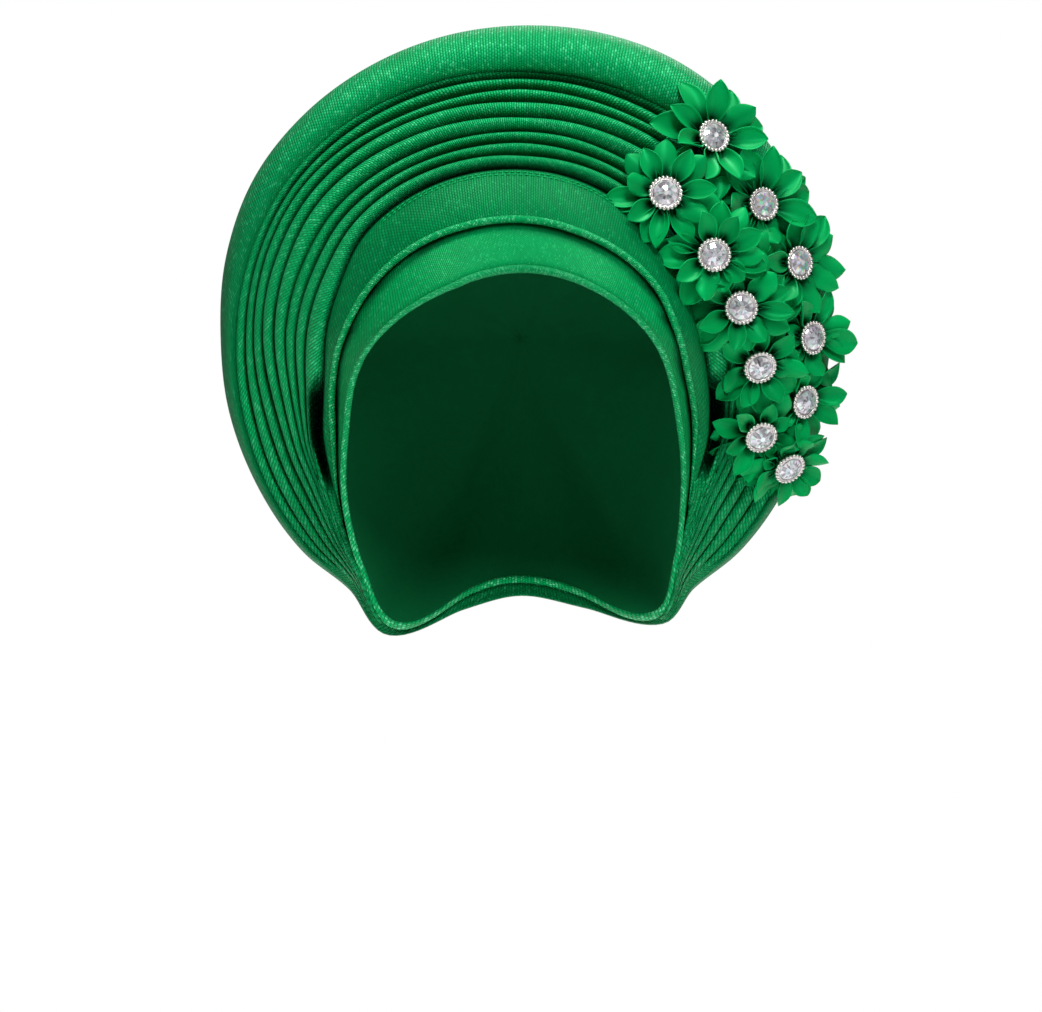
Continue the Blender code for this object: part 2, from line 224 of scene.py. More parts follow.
CREASES: Sequence[Creases] = (
    Creases(0, 0.0, 0.106, 0.213, 0.347, 0.498, 0.633, 0.749, 0.875),
    Creases(30, 0.0, 0.108, 0.232, 0.330, 0.478, 0.640, 0.754, 0.862),
    Creases(60, 0.0, 0.097, 0.179, 0.291, 0.418, 0.597, 0.719, 0.842),
    Creases(90, 0.0, 0.116, 0.200, 0.305, 0.432, 0.552, 0.674, 0.789),
    Creases(120, 0.0, 0.165, 0.340, 0.490, 0.600, 0.690, 0.755, 0.805),
    Creases(150, 0.0, 0.200, 0.420, 0.620, 0.750, 0.840, 0.900, 0.950),
)

# How full the brow band's section is at shares of its width, from its lower edge
BAND_BULGE: Sequence[tuple[float, float]] = ((0.0, 0.0), (0.25, 1.0), (0.5, 1.25), (0.78, 1.0), (1.0, 0.0))

# The flowers whose stones have the strong coat, and the tints of the facets from a stone's middle outwards:
# painted reflections in whites and greys, with the coat's tints among them
RAINBOW_STONES: Sequence[int] = (3, 5)
STONE_HEART: Sequence[str] = ("#FFFFFF", "#F4F0FA", "#E9F7FF")
STONE_RING: Sequence[str] = ("#C6C2C8", "#9A979E", "#DED8E6", "#B4CFC6", "#86838A", "#CCDDE8", "#EAE2E8")
STONE_RAINBOW: Sequence[str] = ("#D4B0F2", "#A4EEC4", "#98E2F2", "#F2E2C0", "#E6DEF2", "#C8C4CC")
STONE_EDGE: Sequence[str] = ("#F2EEF2", "#C9C5CB", "#E6D9EE", "#D8F0E6", "#FFFFFF", "#A9A4AC")

# How far each pleat's crest stands forward of the fan's plane, in millimetres
CREST_FORWARD: Sequence[float] = (-5.0, -3.6, -0.6, 1.6, 2.0, -0.4, 0.8, 1.8)

# How much of its depth each pleat keeps at the tips, where the inner ones run out into smooth cloth
TIP_DEPTH: Sequence[float] = (0.75, 1.0, 0.85, 0.60, 0.40, 0.15, 0.0, 0.0)

# One pleat's section, from the crease behind its crest to the crease under it
FOLD: Sequence[FoldPoint] = (
    FoldPoint(0.22, 1.00, 0.14, 1.00),
    FoldPoint(0.04, 0.55, 0.02, 0.50),
    FoldPoint(-0.05, 0.20, 0.02, 0.20),
    FoldPoint(0.03, 0.02, 0.14, 0.04),
    FoldPoint(0.20, 0.00, 0.40, 0.00),
    FoldPoint(0.46, 0.16, 0.66, 0.10),
    FoldPoint(0.74, 0.46, 0.86, 0.34),
    FoldPoint(1.00, 0.80, 0.99, 0.70),
)

PETAL_LAYERS: Sequence[PetalLayer] = (
    PetalLayer(7, 0.92, -3.0 * MM, 0.46, 0.0),
    PetalLayer(7, 1.04, -4.0 * MM, 0.16, 0.5),
    PetalLayer(6, 1.00, -5.2 * MM, -0.10, 0.2),
)

# The setting's section, from its middle under the stone round the rim, as distance and height in millimetres
RIM: Sequence[tuple[float, float]] = (
    (0.0, 0.1), (5.6, 0.1), (6.0, 1.2), (5.9, 2.2), (5.4, 2.6), (5.2, 2.2), (5.0, 1.0), (0.0, 0.9)
)

# From the girdle to the table
CUTS: Sequence[Cut] = (
    Cut(1.00, 1.0, 0.0),
    Cut(0.90, 0.5, 0.0),
    Cut(0.56, 0.7, 0.5),
    Cut(0.20, 0.5, 0.5),
)

# From the top flower down
FLOWERS: Sequence[Flower] = (
    Flower(26, -14, 1.14),
    Flower(6, -8, 1.00),
    Flower(30, -6, 1.16),
    Flower(8, 0, 1.02),
    Flower(40, -2, 1.08),
    Flower(12, 4, 1.00),
    Flower(42, 4, 1.02),
    Flower(16, 22, 0.98),
    Flower(42, 12, 0.98),
    Flower(20, 30, 0.88),
    Flower(34, 34, 0.84),
)

LAMPS: Sequence[Lamp] = (
    Lamp("key", (0.30, -1.30, 1.15), 0.60, 19.0),
    Lamp("top", (0.05, -0.15, 1.45), 0.50, 20.0),
    Lamp("fill", (-0.9, -1.5, 0.4), 1.2, 2.2),
    Lamp("side", (1.3, -1.0, 0.3), 1.2, 1.5),
    Lamp("back", (0.3, 1.5, 0.9), 1.0, 3.5),
)


@dataclass(frozen=True)
class Halo:
    """The sizes that all cloth pieces share, in metres, and the places that follow from them."""

    radius: float = 0.1224
    drop: float = 0.0628
    back: float = 0.118
    cap_half_width: float = 0.079
    cap_half_length: float = 0.098
    cap_middle: float = 0.006

    def section(self, angle: float) -> Section:
        """The section at any angle, on a smooth curve through the rows of the table.

        Args:
            angle: Degrees round the halo, 0 straight up, positive to the right.

        Returns:
            The section there.
        """
        count = len(SECTIONS)
        wrapped = (angle + 180.0) % 360.0 - 180.0
        index = max(i for i in range(count) if SECTIONS[i].angle <= wrapped + 1e-9)
        rows = [SECTIONS[(index + step) % count] for step in (-1, 0, 1, 2)]
        spots = [row.angle + 360.0 * ((index + step) // count) for row, step in zip(rows, (-1, 0, 1, 2))]
        span = spots[2] - spots[1]
        t = (wrapped - spots[1]) / span
        values = [angle]
        for column in range(1, len(Section._fields)):
            before, start, end, after = (row[column] for row in rows)
            slope_in = (end - before) / (spots[2] - spots[0]) * span
            slope_out = (after - start) / (spots[3] - spots[1]) * span
            values.append(
                (2 * t**3 - 3 * t**2 + 1) * start
                + (t**3 - 2 * t**2 + t) * slope_in
                + (3 * t**2 - 2 * t**3) * end
                + (t**3 - t**2) * slope_out
            )
        return Section(*values)

    def place(self, angle: float, radius: float, depth: float) -> Vector:
        """The point at an angle, at a distance from the axis and at a depth."""
        turn = math.radians(angle)
        return Vector((radius * math.sin(turn), depth, radius * math.cos(turn) - self.drop))

    def cap_point(self, section: Section, swing: float, proud: float = 0.0) -> Vector:
        """A point on the cap's section, or proud of it.

        Args:
            section: The section.
            swing: Radians from the section's widest place, negative towards the face.
            proud: How far it stands off the cap, in metres.

        Returns:
            Distance from the axis and depth as a flat vector.
        """
        girth = section.girth * self.cap_half_width
        normal = Vector((math.cos(swing) / girth, math.sin(swing) / self.cap_half_length)).normalized()
        on_cap = Vector((girth * math.cos(swing), self.cap_middle + self.cap_half_length * math.sin(swing)))
        return on_cap + normal * proud

    def fan_edge(self, section: Section) -> Vector:
        """Where the fan's inner edge lies. It closes over the brow band's tip and then runs out on the hem.

        Args:
            section: The section.

        Returns:
            Distance from the axis and depth as a flat vector.
        """
        side = abs(section.angle)
        edge = Vector((section.inner * self.radius, section.inner_depth * self.back))
        tip = self.cap_point(section, math.radians(section.band), 2.4 * MM)
        hem = self.cap_point(section, math.radians(section.hem), 1.7 * MM)
        return edge.lerp(tip, ease(side, 116.0, 139.0)).lerp(hem, ease(side, 137.0, 147.0))

    def tube_spot(self, angle: float, middle: Vector, radius: float, around: float, grain: float) -> Spot:
        """A point on a soft tube that runs round the halo.

        Args:
            angle: Degrees round the halo.
            middle: The tube's middle as distance from the axis and depth.
            radius: The tube's radius in metres.
            around: Share of a turn round the tube.
            grain: Metres of cloth for each radian round the halo.

        Returns:
            The point, with flat cloth coordinates in metres.
        """
        turn = 2 * math.pi * around
        offset = Vector((math.cos(turn), math.sin(turn))) * radius
        flat = (math.radians(angle) * grain, radius * turn)
        return Spot(self.place(angle, *(middle + offset)), flat, 0.0)


def lerp(start: float, end: float, share: float) -> float:
    """The value a share of the way from start to end."""
    return start + (end - start) * share


def ease(value: float, low: float, high: float) -> float:
    """A smooth step from 0 at low to 1 at high."""
    share = min(1.0, max(0.0, (value - low) / (high - low)))
    return share * share * (3 - 2 * share)


def along(points: Sequence[Vector], share: float) -> Vector:
    """A point on the smooth curve through the points.

    Args:
        points: Two or more points, evenly spaced in share.
        share: From 0 at the first point to 1 at the last.

    Returns:
        The point on a Catmull-Rom curve.
    """
    last = len(points) - 1
    spot = min(max(share, 0.0), 1.0) * last
    index = min(int(spot), last - 1)
    t = spot - index
    start, end = points[index], points[index + 1]
    before = points[index - 1] if index else start * 2 - end
    after = points[index + 2] if index + 2 <= last else end * 2 - start
    return 0.5 * (
        2 * start
        + (end - before) * t
        + (2 * before - 5 * start + 4 * end - after) * t**2
        + (3 * start - before - 3 * end + after) * t**3
    )


def waver(angle: float, row: float, seed: float, scale: float) -> float:
    """A slow, smooth unevenness along a fold, which closes on itself in a full turn.

    Args:
        angle: Degrees round the halo.
        row: The place across the folds.
        seed: Makes one use differ from another.
        scale: How fast it changes, for each degree.

    Returns:
        About -1 to 1.
    """
    turn = math.radians(angle)
    ring = Vector((math.cos(turn), math.sin(turn), 0.0)) * math.degrees(scale)
    return noise.noise(ring + Vector((row, 0.7 * row, seed)))


def bias(angle: float) -> float:
    """How far the cloth's grain leans at an angle, from -1 at the left side to 1 at the right."""
    return math.sin(math.radians(max(-90.0, min(90.0, angle))))


def linear(hex_colour: str) -> tuple[float, float, float, float]:
    """A colour given as sRGB hex, such as #0A9B55, as linear RGBA."""
    channels = [int(hex_colour[i : i + 2], 16) / 255 for i in (1, 3, 5)]
    return (*[c / 12.92 if c <= 0.04045 else ((c + 0.055) / 1.055) ** 2.4 for c in channels], 1.0)


def chance(seed: float, channel: float) -> float:
    """A steady random number of about -1 to 1."""
    return 1.6 * noise.noise(Vector((seed * 3.17, channel * 2.3, 0.5)))


def lay_grid(bm: bmesh.types.BMesh, across: int, down: int, spot: Callable[[float, float], Spot]) -> None:
    """Adds a grid laid over a surface, with its flat cloth as the UV map and its painted shade as an
    attribute.

    Args:
        bm: The mesh that gets the grid.
        across: Squares in the first direction.
        down: Squares in the second direction.
        spot: Gives the surface's point for two shares from 0 to 1.
    """
    flat = bm.loops.layers.uv.verify()
    shade = bm.verts.layers.float.get("shade") or bm.verts.layers.float.new("shade")
    verts = bmesh.ops.create_grid(bm, x_segments=across, y_segments=down, size=0.5)["verts"]
    spots = {vert: spot(vert.co.x + 0.5, vert.co.y + 0.5) for vert in verts}
    for vert, found in spots.items():
        for loop in vert.link_loops:
            loop[flat].uv = found.flat
        vert.co = found.place
        vert[shade] = found.shade


def add_object(name: str, data: bpy.types.ID) -> bpy.types.Object:
    """Adds an object to the scene.

    Args:
        name: The object's name.
        data: Its mesh, light or camera.

    Returns:
        The object.
    """
    obj = bpy.data.objects.new(name, data)
    bpy.context.scene.collection.objects.link(obj)
    return obj


def finish_mesh(
    name: str, bm: bmesh.types.BMesh, material: bpy.types.Material, smooth: bool = True
) -> bpy.types.Object:
    """Makes a bmesh an object of the scene with one material.

    Args:
        name: The piece's name.
        bm: The mesh, which is freed.
        material: The piece's material.
        smooth: Whether its faces are shaded smooth.

    Returns:
        The piece.
    """
    mesh = bpy.data.meshes.new(name)
    bm.to_mesh(mesh)
    bm.free()
    mesh.materials.append(material)
    if smooth:
        mesh.shade_smooth()
    return add_object(name, mesh)


def add_thickness(obj: bpy.types.Object, thickness: float, reverse: bpy.types.Material | None = None) -> None:
    """Gives a sheet its thickness on its inner side.

    Args:
        obj: The sheet's object.
        thickness: The cloth's thickness in metres.
        reverse: The wrong side's material, where it differs.
    """
    wall = obj.modifiers.new("thickness", "SOLIDIFY")
    wall.thickness = thickness
    wall.offset = -1.0
    wall.use_even_offset = False
    wall.use_rim = True
    if reverse is not None:
        obj.data.materials.append(reverse)
        wall.material_offset = 1


def lay_cloth(
    name: str, grid: tuple[int, int], spot: Callable[[float, float], Spot], inside: Vector,
    cloth: bpy.types.Material, thickness: float, reverse: bpy.types.Material | None = None
) -> bpy.types.Object:
    """Makes a sheet of cloth over a surface, right side out.

    Args:
        name: The piece's name.
        grid: Squares in the first direction and in the second.
        spot: Gives the surface's point for two shares from 0 to 1.
        inside: A point on the wrong side.
        cloth: The cloth's material.
        thickness: Its thickness in metres.
        reverse: The wrong side's material, where it differs.

    Returns:
        The sheet. Seams and poles are merged.
    """
    bm = bmesh.new()
    bm.loops.layers.uv.new("UVMap")
    lay_grid(bm, *grid, spot)
    bmesh.ops.remove_doubles(bm, verts=bm.verts[:], dist=TOUCHING)
    bm.normal_update()
    if sum(face.normal.dot(face.calc_center_median() - inside) * face.calc_area() for face in bm.faces) < 0:
        bmesh.ops.reverse_faces(bm, faces=bm.faces[:])
    sheet = finish_mesh(name, bm, cloth)
    add_thickness(sheet, thickness, reverse)
    return sheet


def lay_tube(
    name: str, length: int, spot: Callable[[float, float], Spot], cloth: bpy.types.Material
) -> bpy.types.Object:
    """Makes a tube of cloth, closed at its ends.

    Args:
        name: The piece's name.
        length: Squares along the tube.
        spot: Gives the tube's point for a share of its length and a share of a turn round it.
        cloth: The cloth's material.

    Returns:
        The tube.
    """
    bm = bmesh.new()
    bm.loops.layers.uv.new("UVMap")
    lay_grid(bm, length, TUBE_SIDES, spot)
    bmesh.ops.remove_doubles(bm, verts=bm.verts[:], dist=TOUCHING)
    bmesh.ops.holes_fill(bm, edges=[edge for edge in bm.edges if edge.is_boundary], sides=0)
    bmesh.ops.recalc_face_normals(bm, faces=bm.faces[:])
    return finish_mesh(name, bm, cloth)


def declare(piece: bpy.types.Object, slot: Slot, stands_for: str | None = None) -> None:
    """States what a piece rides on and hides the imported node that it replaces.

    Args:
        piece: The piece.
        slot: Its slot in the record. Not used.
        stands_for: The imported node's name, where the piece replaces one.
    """
    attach(piece, ROOT)
    if stands_for is not None:
        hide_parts(stands_for)


# Materials


def fill_inputs(tree: bpy.types.NodeTree, node: bpy.types.Node, inputs: dict) -> None:
    """Sets or links a node's inputs.

    Args:
        tree: The node tree.
        node: The node.
        inputs: For each input, by index or name, a value to set, a socket to link, or a node whose first
            output is linked.
    """
    for key, given in inputs.items():
        source = given.outputs[0] if isinstance(given, bpy.types.Node) else given
        if isinstance(source, bpy.types.NodeSocket):
            tree.links.new(source, node.inputs[key])
        else:
            node.inputs[key].default_value = source


def add_node(
    tree: bpy.types.NodeTree, kind: str, inputs: dict | None = None, **settings: str | bool
) -> bpy.types.Node:
    """Adds a node with its settings and links.

    Args:
        tree: The node tree.
        kind: The node's type, such as Math for ShaderNodeMath.
        inputs: What its inputs are set or linked to, by index or name.
        settings: Its properties by name.

    Returns:
        The new node.
    """
    node = tree.nodes.new(f"ShaderNode{kind}")
    for name, value in settings.items():
        setattr(node, name, value)
    fill_inputs(tree, node, inputs or {})
    return node


def start_material(name: str) -> tuple[bpy.types.Material, bpy.types.NodeTree, bpy.types.Node]:
    """Makes a node material.

    Args:
        name: The material's name.

    Returns:
        The material, its tree and its Principled shader.
    """
    material = bpy.data.materials.new(name)
    material.use_nodes = True
    tree = material.node_tree
    return material, tree, tree.nodes["Principled BSDF"]


@dataclass(frozen=True)
class GlitterCloth:
    """Stiff polyester cloth with glitter thread. Short ribs lie brick-wise, with painted shade in the grooves
    between them, and a few of them flash with a painted glint.

    The glitter thread is dyed metallised film, so its shine takes the cloth's own green.
    """

    name: str
    base: str = "#008E4A"
    light: str = "#20D284"
    # Painted shade in the grooves between the ribs
    gap: str = "#006834"
    # Painted glint on the few flashing ribs
    flash: str = "#52DE98"
    # Painted shade: the colour that the shade attribute mixes in
    crease: str = "#001507"
    shine: str = "#12E484"
    rib: float = 1.2 * MM
    dash: float = 1.4 * MM
    relief: float = 0.24 * MM
    wobble: float = 6.25 * MM
    cloud: float = 22.22 * MM
    flash_share: float = 0.22
    flash_power: float = 0.58
    roughness: float = 0.42
    level: float = 0.65

    def build(self) -> bpy.types.Material:
        """Makes the material from the piece's flat cloth coordinates in metres.

        Returns:
            The material.
        """
        material, tree, shader = start_material(self.name)
        flat = add_node(tree, "UVMap", uv_map="UVMap")
        parts = add_node(tree, "SeparateXYZ", {0: flat})
        wobble = add_node(tree, "TexNoise", {0: flat, "Scale": 1 / self.wobble, "Detail": 1.0})
        ribs = add_node(tree, "Math", {0: parts.outputs[0], 1: self.rib}, operation="DIVIDE")
        across = add_node(tree, "Math", {0: wobble, 1: 0.5, 2: ribs}, operation="MULTIPLY_ADD")
        column = add_node(tree, "Math", {0: across}, operation="FLOOR")
        dashes = add_node(tree, "Math", {0: parts.outputs[1], 1: self.dash}, operation="DIVIDE")
        down = add_node(tree, "Math", {0: column, 1: 0.5, 2: dashes}, operation="MULTIPLY_ADD")
        row = add_node(tree, "Math", {0: down}, operation="FLOOR")
        rounds = []
        for way in (across, down):
            share = add_node(tree, "Math", {0: way}, operation="FRACT")
            half_turn = add_node(tree, "Math", {0: share, 1: math.pi}, operation="MULTIPLY")
            rounds.append(add_node(tree, "Math", {0: half_turn}, operation="SINE"))
        dash_round = add_node(tree, "Math", {0: rounds[1], 1: 0.45}, operation="POWER")
        height = add_node(tree, "Math", {0: rounds[0], 1: dash_round}, operation="MULTIPLY")
        cell = add_node(tree, "CombineXYZ", {0: column, 1: row})
        luck = add_node(tree, "TexWhiteNoise", {"Vector": cell}, noise_dimensions="2D").outputs["Value"]
        dull_share = 1 - self.flash_share
        span = {VALUE: luck, FROM_MIN: dull_share, FROM_MAX: 1.0, TO_MIN: 0.0, TO_MAX: self.flash_power}
        flashing = add_node(tree, "MapRange", span)
        cloud = add_node(tree, "TexNoise", {0: flat, "Scale": 1 / self.cloud, "Detail": 4.0})
        clouds = add_node(tree, "Math", {0: cloud, 1: 0.42}, operation="MULTIPLY")
        tone = add_node(tree, "Math", {0: luck, 1: 0.22, 2: clouds}, operation="MULTIPLY_ADD")
        colours = {MIX_SHARE: tone, MIX_START: linear(self.base), MIX_END: linear(self.light)}
        thread = add_node(tree, "Mix", colours, data_type="RGBA")
        # Painted shade in the grooves: darker where the ribs are low
        raised = add_node(tree, "Math", {0: height, 1: 0.6}, operation="POWER")
        colours = {MIX_SHARE: raised, MIX_START: linear(self.gap), MIX_END: thread.outputs[MIXED]}
        woven = add_node(tree, "Mix", colours, data_type="RGBA")
        # Painted glints: the flashing ribs are made brighter
        lit = add_node(tree, "Math", {0: flashing, 1: height}, operation="MULTIPLY")
        colours = {MIX_SHARE: lit, MIX_START: woven.outputs[MIXED], MIX_END: linear(self.flash)}
        sparkled = add_node(tree, "Mix", colours, data_type="RGBA").outputs[MIXED]
        # Painted shade from the mesh's shade attribute
        depth = add_node(tree, "Attribute", attribute_name="shade").outputs["Fac"]
        colours = {MIX_SHARE: depth, MIX_START: sparkled, MIX_END: linear(self.crease)}
        with_painted_shade = add_node(tree, "Mix", colours, data_type="RGBA")
        rough = add_node(tree, "Math", {0: lit, 1: -0.25, 2: self.roughness}, operation="MULTIPLY_ADD")
        uneven = add_node(tree, "Math", {0: luck, 1: 0.5, 2: height}, operation="MULTIPLY_ADD")
        bump = add_node(tree, "Bump", {"Strength": 1.0, "Distance": self.relief, "Height": uneven})
        fill_inputs(tree, shader, {
            "Base Color": with_painted_shade.outputs[MIXED],
            "Roughness": rough,
            "Normal": bump,
            "Specular IOR Level": self.level,
            "Specular Tint": linear(self.shine),
        })
        return material


@dataclass(frozen=True)
class ClothReverse:
    """The wrong side of the cloth, seen inside the cap: flat polyester weave with no glitter, so it is dull.
    Its dark green is partly its own colour and partly painted shade inside the cap.

    The weave is drawn about three times as coarse as real, so that a picture of the inside shows it.
    """

    name: str
    base: str = "#00562E"
    light: str = "#00703E"
    thread: float = 0.9 * MM
    cloud: float = 33.33 * MM
    relief: float = 0.1 * MM

    def build(self) -> bpy.types.Material:
        """Makes the material from the cloth's flat coordinates.

        Returns:
            The material.
        """
        material, tree, shader = start_material(self.name)
        flat = add_node(tree, "UVMap", uv_map="UVMap")
        scaled = add_node(tree, "Mapping", {0: flat, 3: (1 / self.thread, 1 / self.thread, 1.0)})
        cells = {0: scaled, "Scale": 1.0, "Randomness": 0.35}
        weave = add_node(tree, "TexVoronoi", cells, distance="CHEBYCHEV").outputs["Distance"]
        cloud = add_node(tree, "TexNoise", {0: flat, "Scale": 1 / self.cloud, "Detail": 3.0})
        # Painted shade in the grooves between the threads, uneven in clouds
        tone = add_node(tree, "Math", {0: weave, 1: cloud}, operation="MULTIPLY")
        colours = {MIX_SHARE: tone, MIX_START: linear(self.light), MIX_END: linear(self.base)}
        cloth = add_node(tree, "Mix", colours, data_type="RGBA")
        relief = {"Strength": 0.5, "Distance": self.relief, "Height": weave}
        bump = add_node(tree, "Bump", relief, invert=True)
        fill_inputs(tree, shader, {
            "Base Color": cloth.outputs[MIXED],
            "Normal": bump,
            "Roughness": 0.8,
            "Specular IOR Level": 0.15,
        })
        return material


@dataclass(frozen=True)
class SatinRibbon:
    """Polyester satin ribbon, folded. Long floats of thread give it broad soft highlights of its own colour.

    The threads are too fine to show, so its tone is even, with painted shade where the petals' folds are deep
    and a random tone from petal to petal.
    """

    name: str
    base: str = "#008840"
    light: str = "#00C064"
    # Painted shade in the petals' folds, mixed in by the shade attribute
    crease: str = "#001808"
    shine: str = "#2CE08A"
    light_share: float = 0.5

    def build(self) -> bpy.types.Material:
        """Makes the material. The painted shade at each point is an attribute of the mesh.

        Returns:
            The material.
        """
        material, tree, shader = start_material(self.name)
        colours = {MIX_SHARE: self.light_share, MIX_START: linear(self.base), MIX_END: linear(self.light)}
        satin = add_node(tree, "Mix", colours, data_type="RGBA").outputs[MIXED]
        # Painted shade from the mesh's shade attribute
        depth = add_node(tree, "Attribute", attribute_name="shade").outputs["Fac"]
        colours = {MIX_SHARE: depth, MIX_START: satin, MIX_END: linear(self.crease)}
        with_painted_shade = add_node(tree, "Mix", colours, data_type="RGBA")
        fill_inputs(tree, shader, {
            "Base Color": with_painted_shade.outputs[MIXED],
            "Roughness": 0.42,
            "Specular IOR Level": 0.7,
            "Specular Tint": linear(self.shine),
        })
        return material


@dataclass(frozen=True)
class SilverPlate:
    """Silver-plated brass, stamped and tumbled bright, with a little tarnish between the beads."""

    name: str
    base: str = "#F4F0EC"
    dull: str = "#C9C4C2"
    cloud: float = 1.111 * MM

    def build(self) -> bpy.types.Material:
        """Makes the material with a slight unevenness in its shine.

        Returns:
            The material.
        """
        material, tree, shader = start_material(self.name)
        where = add_node(tree, "TexCoord").outputs["Object"]
        cloud = add_node(tree, "TexNoise", {0: where, "Scale": 1 / self.cloud, "Detail": 2.0})
        colours = {MIX_SHARE: cloud, MIX_START: linear(self.base), MIX_END: linear(self.dull)}
        plate = add_node(tree, "Mix", colours, data_type="RGBA")
        span = {VALUE: cloud, FROM_MIN: 0.3, FROM_MAX: 0.7, TO_MIN: 0.28, TO_MAX: 0.45}
        rough = add_node(tree, "MapRange", span)
        fill_inputs(tree, shader, {"Base Color": plate.outputs[MIXED], "Roughness": rough, "Metallic": 1.0})
        return material


@dataclass(frozen=True)
class FoiledCrystal:
    """Cut glass with a mirror foil behind it and a rainbow coat. Each facet is painted its own tint: painted
    reflections in whites and greys, and the coat's tints.
    """

    name: str
    deep: str = "#6E6A70"
    inner_facet: float = 1.316 * MM

    def build(self) -> bpy.types.Material:
        """Makes the material. Each facet's tint is an attribute of the mesh.

        Returns:
            The material.
        """
        material, tree, shader = start_material(self.name)
        tint = add_node(tree, "Attribute", attribute_name="tint").outputs["Color"]
        where = add_node(tree, "TexCoord").outputs["Object"]
        # Painted reflections: darker grey patches stand for the facets seen inside the glass
        inner = add_node(tree, "TexVoronoi", {0: where, "Scale": 1 / self.inner_facet}).outputs["Color"]
        grey = add_node(tree, "SeparateColor", {0: inner})
        span = {VALUE: grey, FROM_MIN: 0.35, FROM_MAX: 1.0, TO_MIN: 0.0, TO_MAX: 0.55}
        share = add_node(tree, "MapRange", span)
        colours = {MIX_SHARE: share, MIX_START: tint, MIX_END: linear(self.deep)}
        cut = add_node(tree, "Mix", colours, data_type="RGBA")
        fill_inputs(tree, shader, {
            "Base Color": cut.outputs[MIXED],
            "Metallic": 0.45,
            "Roughness": 0.08,
            "Coat Weight": 0.6,
            "Coat Roughness": 0.02,
        })
        return material


# Cloth pieces


@dataclass
class HeadCap:
    """The close cap. Its front edge shows as the plain face band, with a rolled hem round the opening."""

    halo: Halo
    cloth: bpy.types.Material
    binding: bpy.types.Material
    reverse: bpy.types.Material
    columns: int = 288
    rows: int = 38
    thickness: float = 1.2 * MM
    inset: float = 0.15 * MM
    ripple: float = 0.25 * MM
    slant: float = 0.7
    hem_radius: float = 1.6 * MM
    crease_shade: float = 0.90
    flat: tuple[float, float] = (0.57, 0.234)

    def spot(self, across: float, down: float) -> Spot:
        """A point of the cap's outer side.

        Args:
            across: Share of the turn round the halo.
            down: Share of the way from the hem to the back pole.

        Returns:
            The point.
        """
        angle = lerp(-180.0, 180.0, across)
        section = self.halo.section(angle)
        hem = math.radians(section.hem)
        swing = lerp(hem, math.pi / 2, down)
        radius, depth = self.halo.cap_point(section, swing, -self.inset)
        if down > AT_POLE:
            radius = 0.0
        run = (swing - hem) * self.halo.cap_half_length
        flat = (math.radians(angle) * CAP_GRAIN + self.slant * math.sin(math.radians(angle)) * run, run)
        radius += self.ripple * waver(angle, swing * 2, 3.0, 0.12)
        # Painted shade along the crease under the brow band's piping, left out towards the nape
        crease = math.radians(section.band)
        shade = self.crease_shade * ease(swing, crease - 0.045, crease - 0.010)
        shade *= ease(142.0 - abs(angle), 0.0, 10.0)
        return Spot(self.halo.place(angle, radius, depth), flat, shade)

    def hem_spot(self, across: float, around: float) -> Spot:
        """A point of the rolled hem, a soft tube along the cap's front edge.

        Args:
            across: Share of the turn round the halo.
            around: Share of a turn round the tube.

        Returns:
            The point.
        """
        angle = lerp(-180.0, 180.0, across)
        section = self.halo.section(angle)
        middle = self.halo.cap_point(section, math.radians(section.hem), -0.4 * self.hem_radius)
        radius = self.hem_radius * (1 + 0.08 * waver(angle, 0.0, 9.0, 0.5))
        return self.halo.tube_spot(angle, middle, radius, around, CAP_GRAIN)

    def build(self) -> list[bpy.types.Object]:
        """Makes the cap and its hem.

        Returns:
            The pieces.
        """
        middle = Vector((0.0, self.halo.cap_middle, -self.halo.drop))
        grid = (self.columns, self.rows)
        cap = lay_cloth("cap_cloth", grid, self.spot, middle, self.cloth, self.thickness, self.reverse)
        hem = lay_tube("cap_hem", self.columns * 2, self.hem_spot, self.binding)
        declare(cap, Slot.CLOTH, "head_cap")
        declare(hem, Slot.CLOTH)
        return [cap, hem]


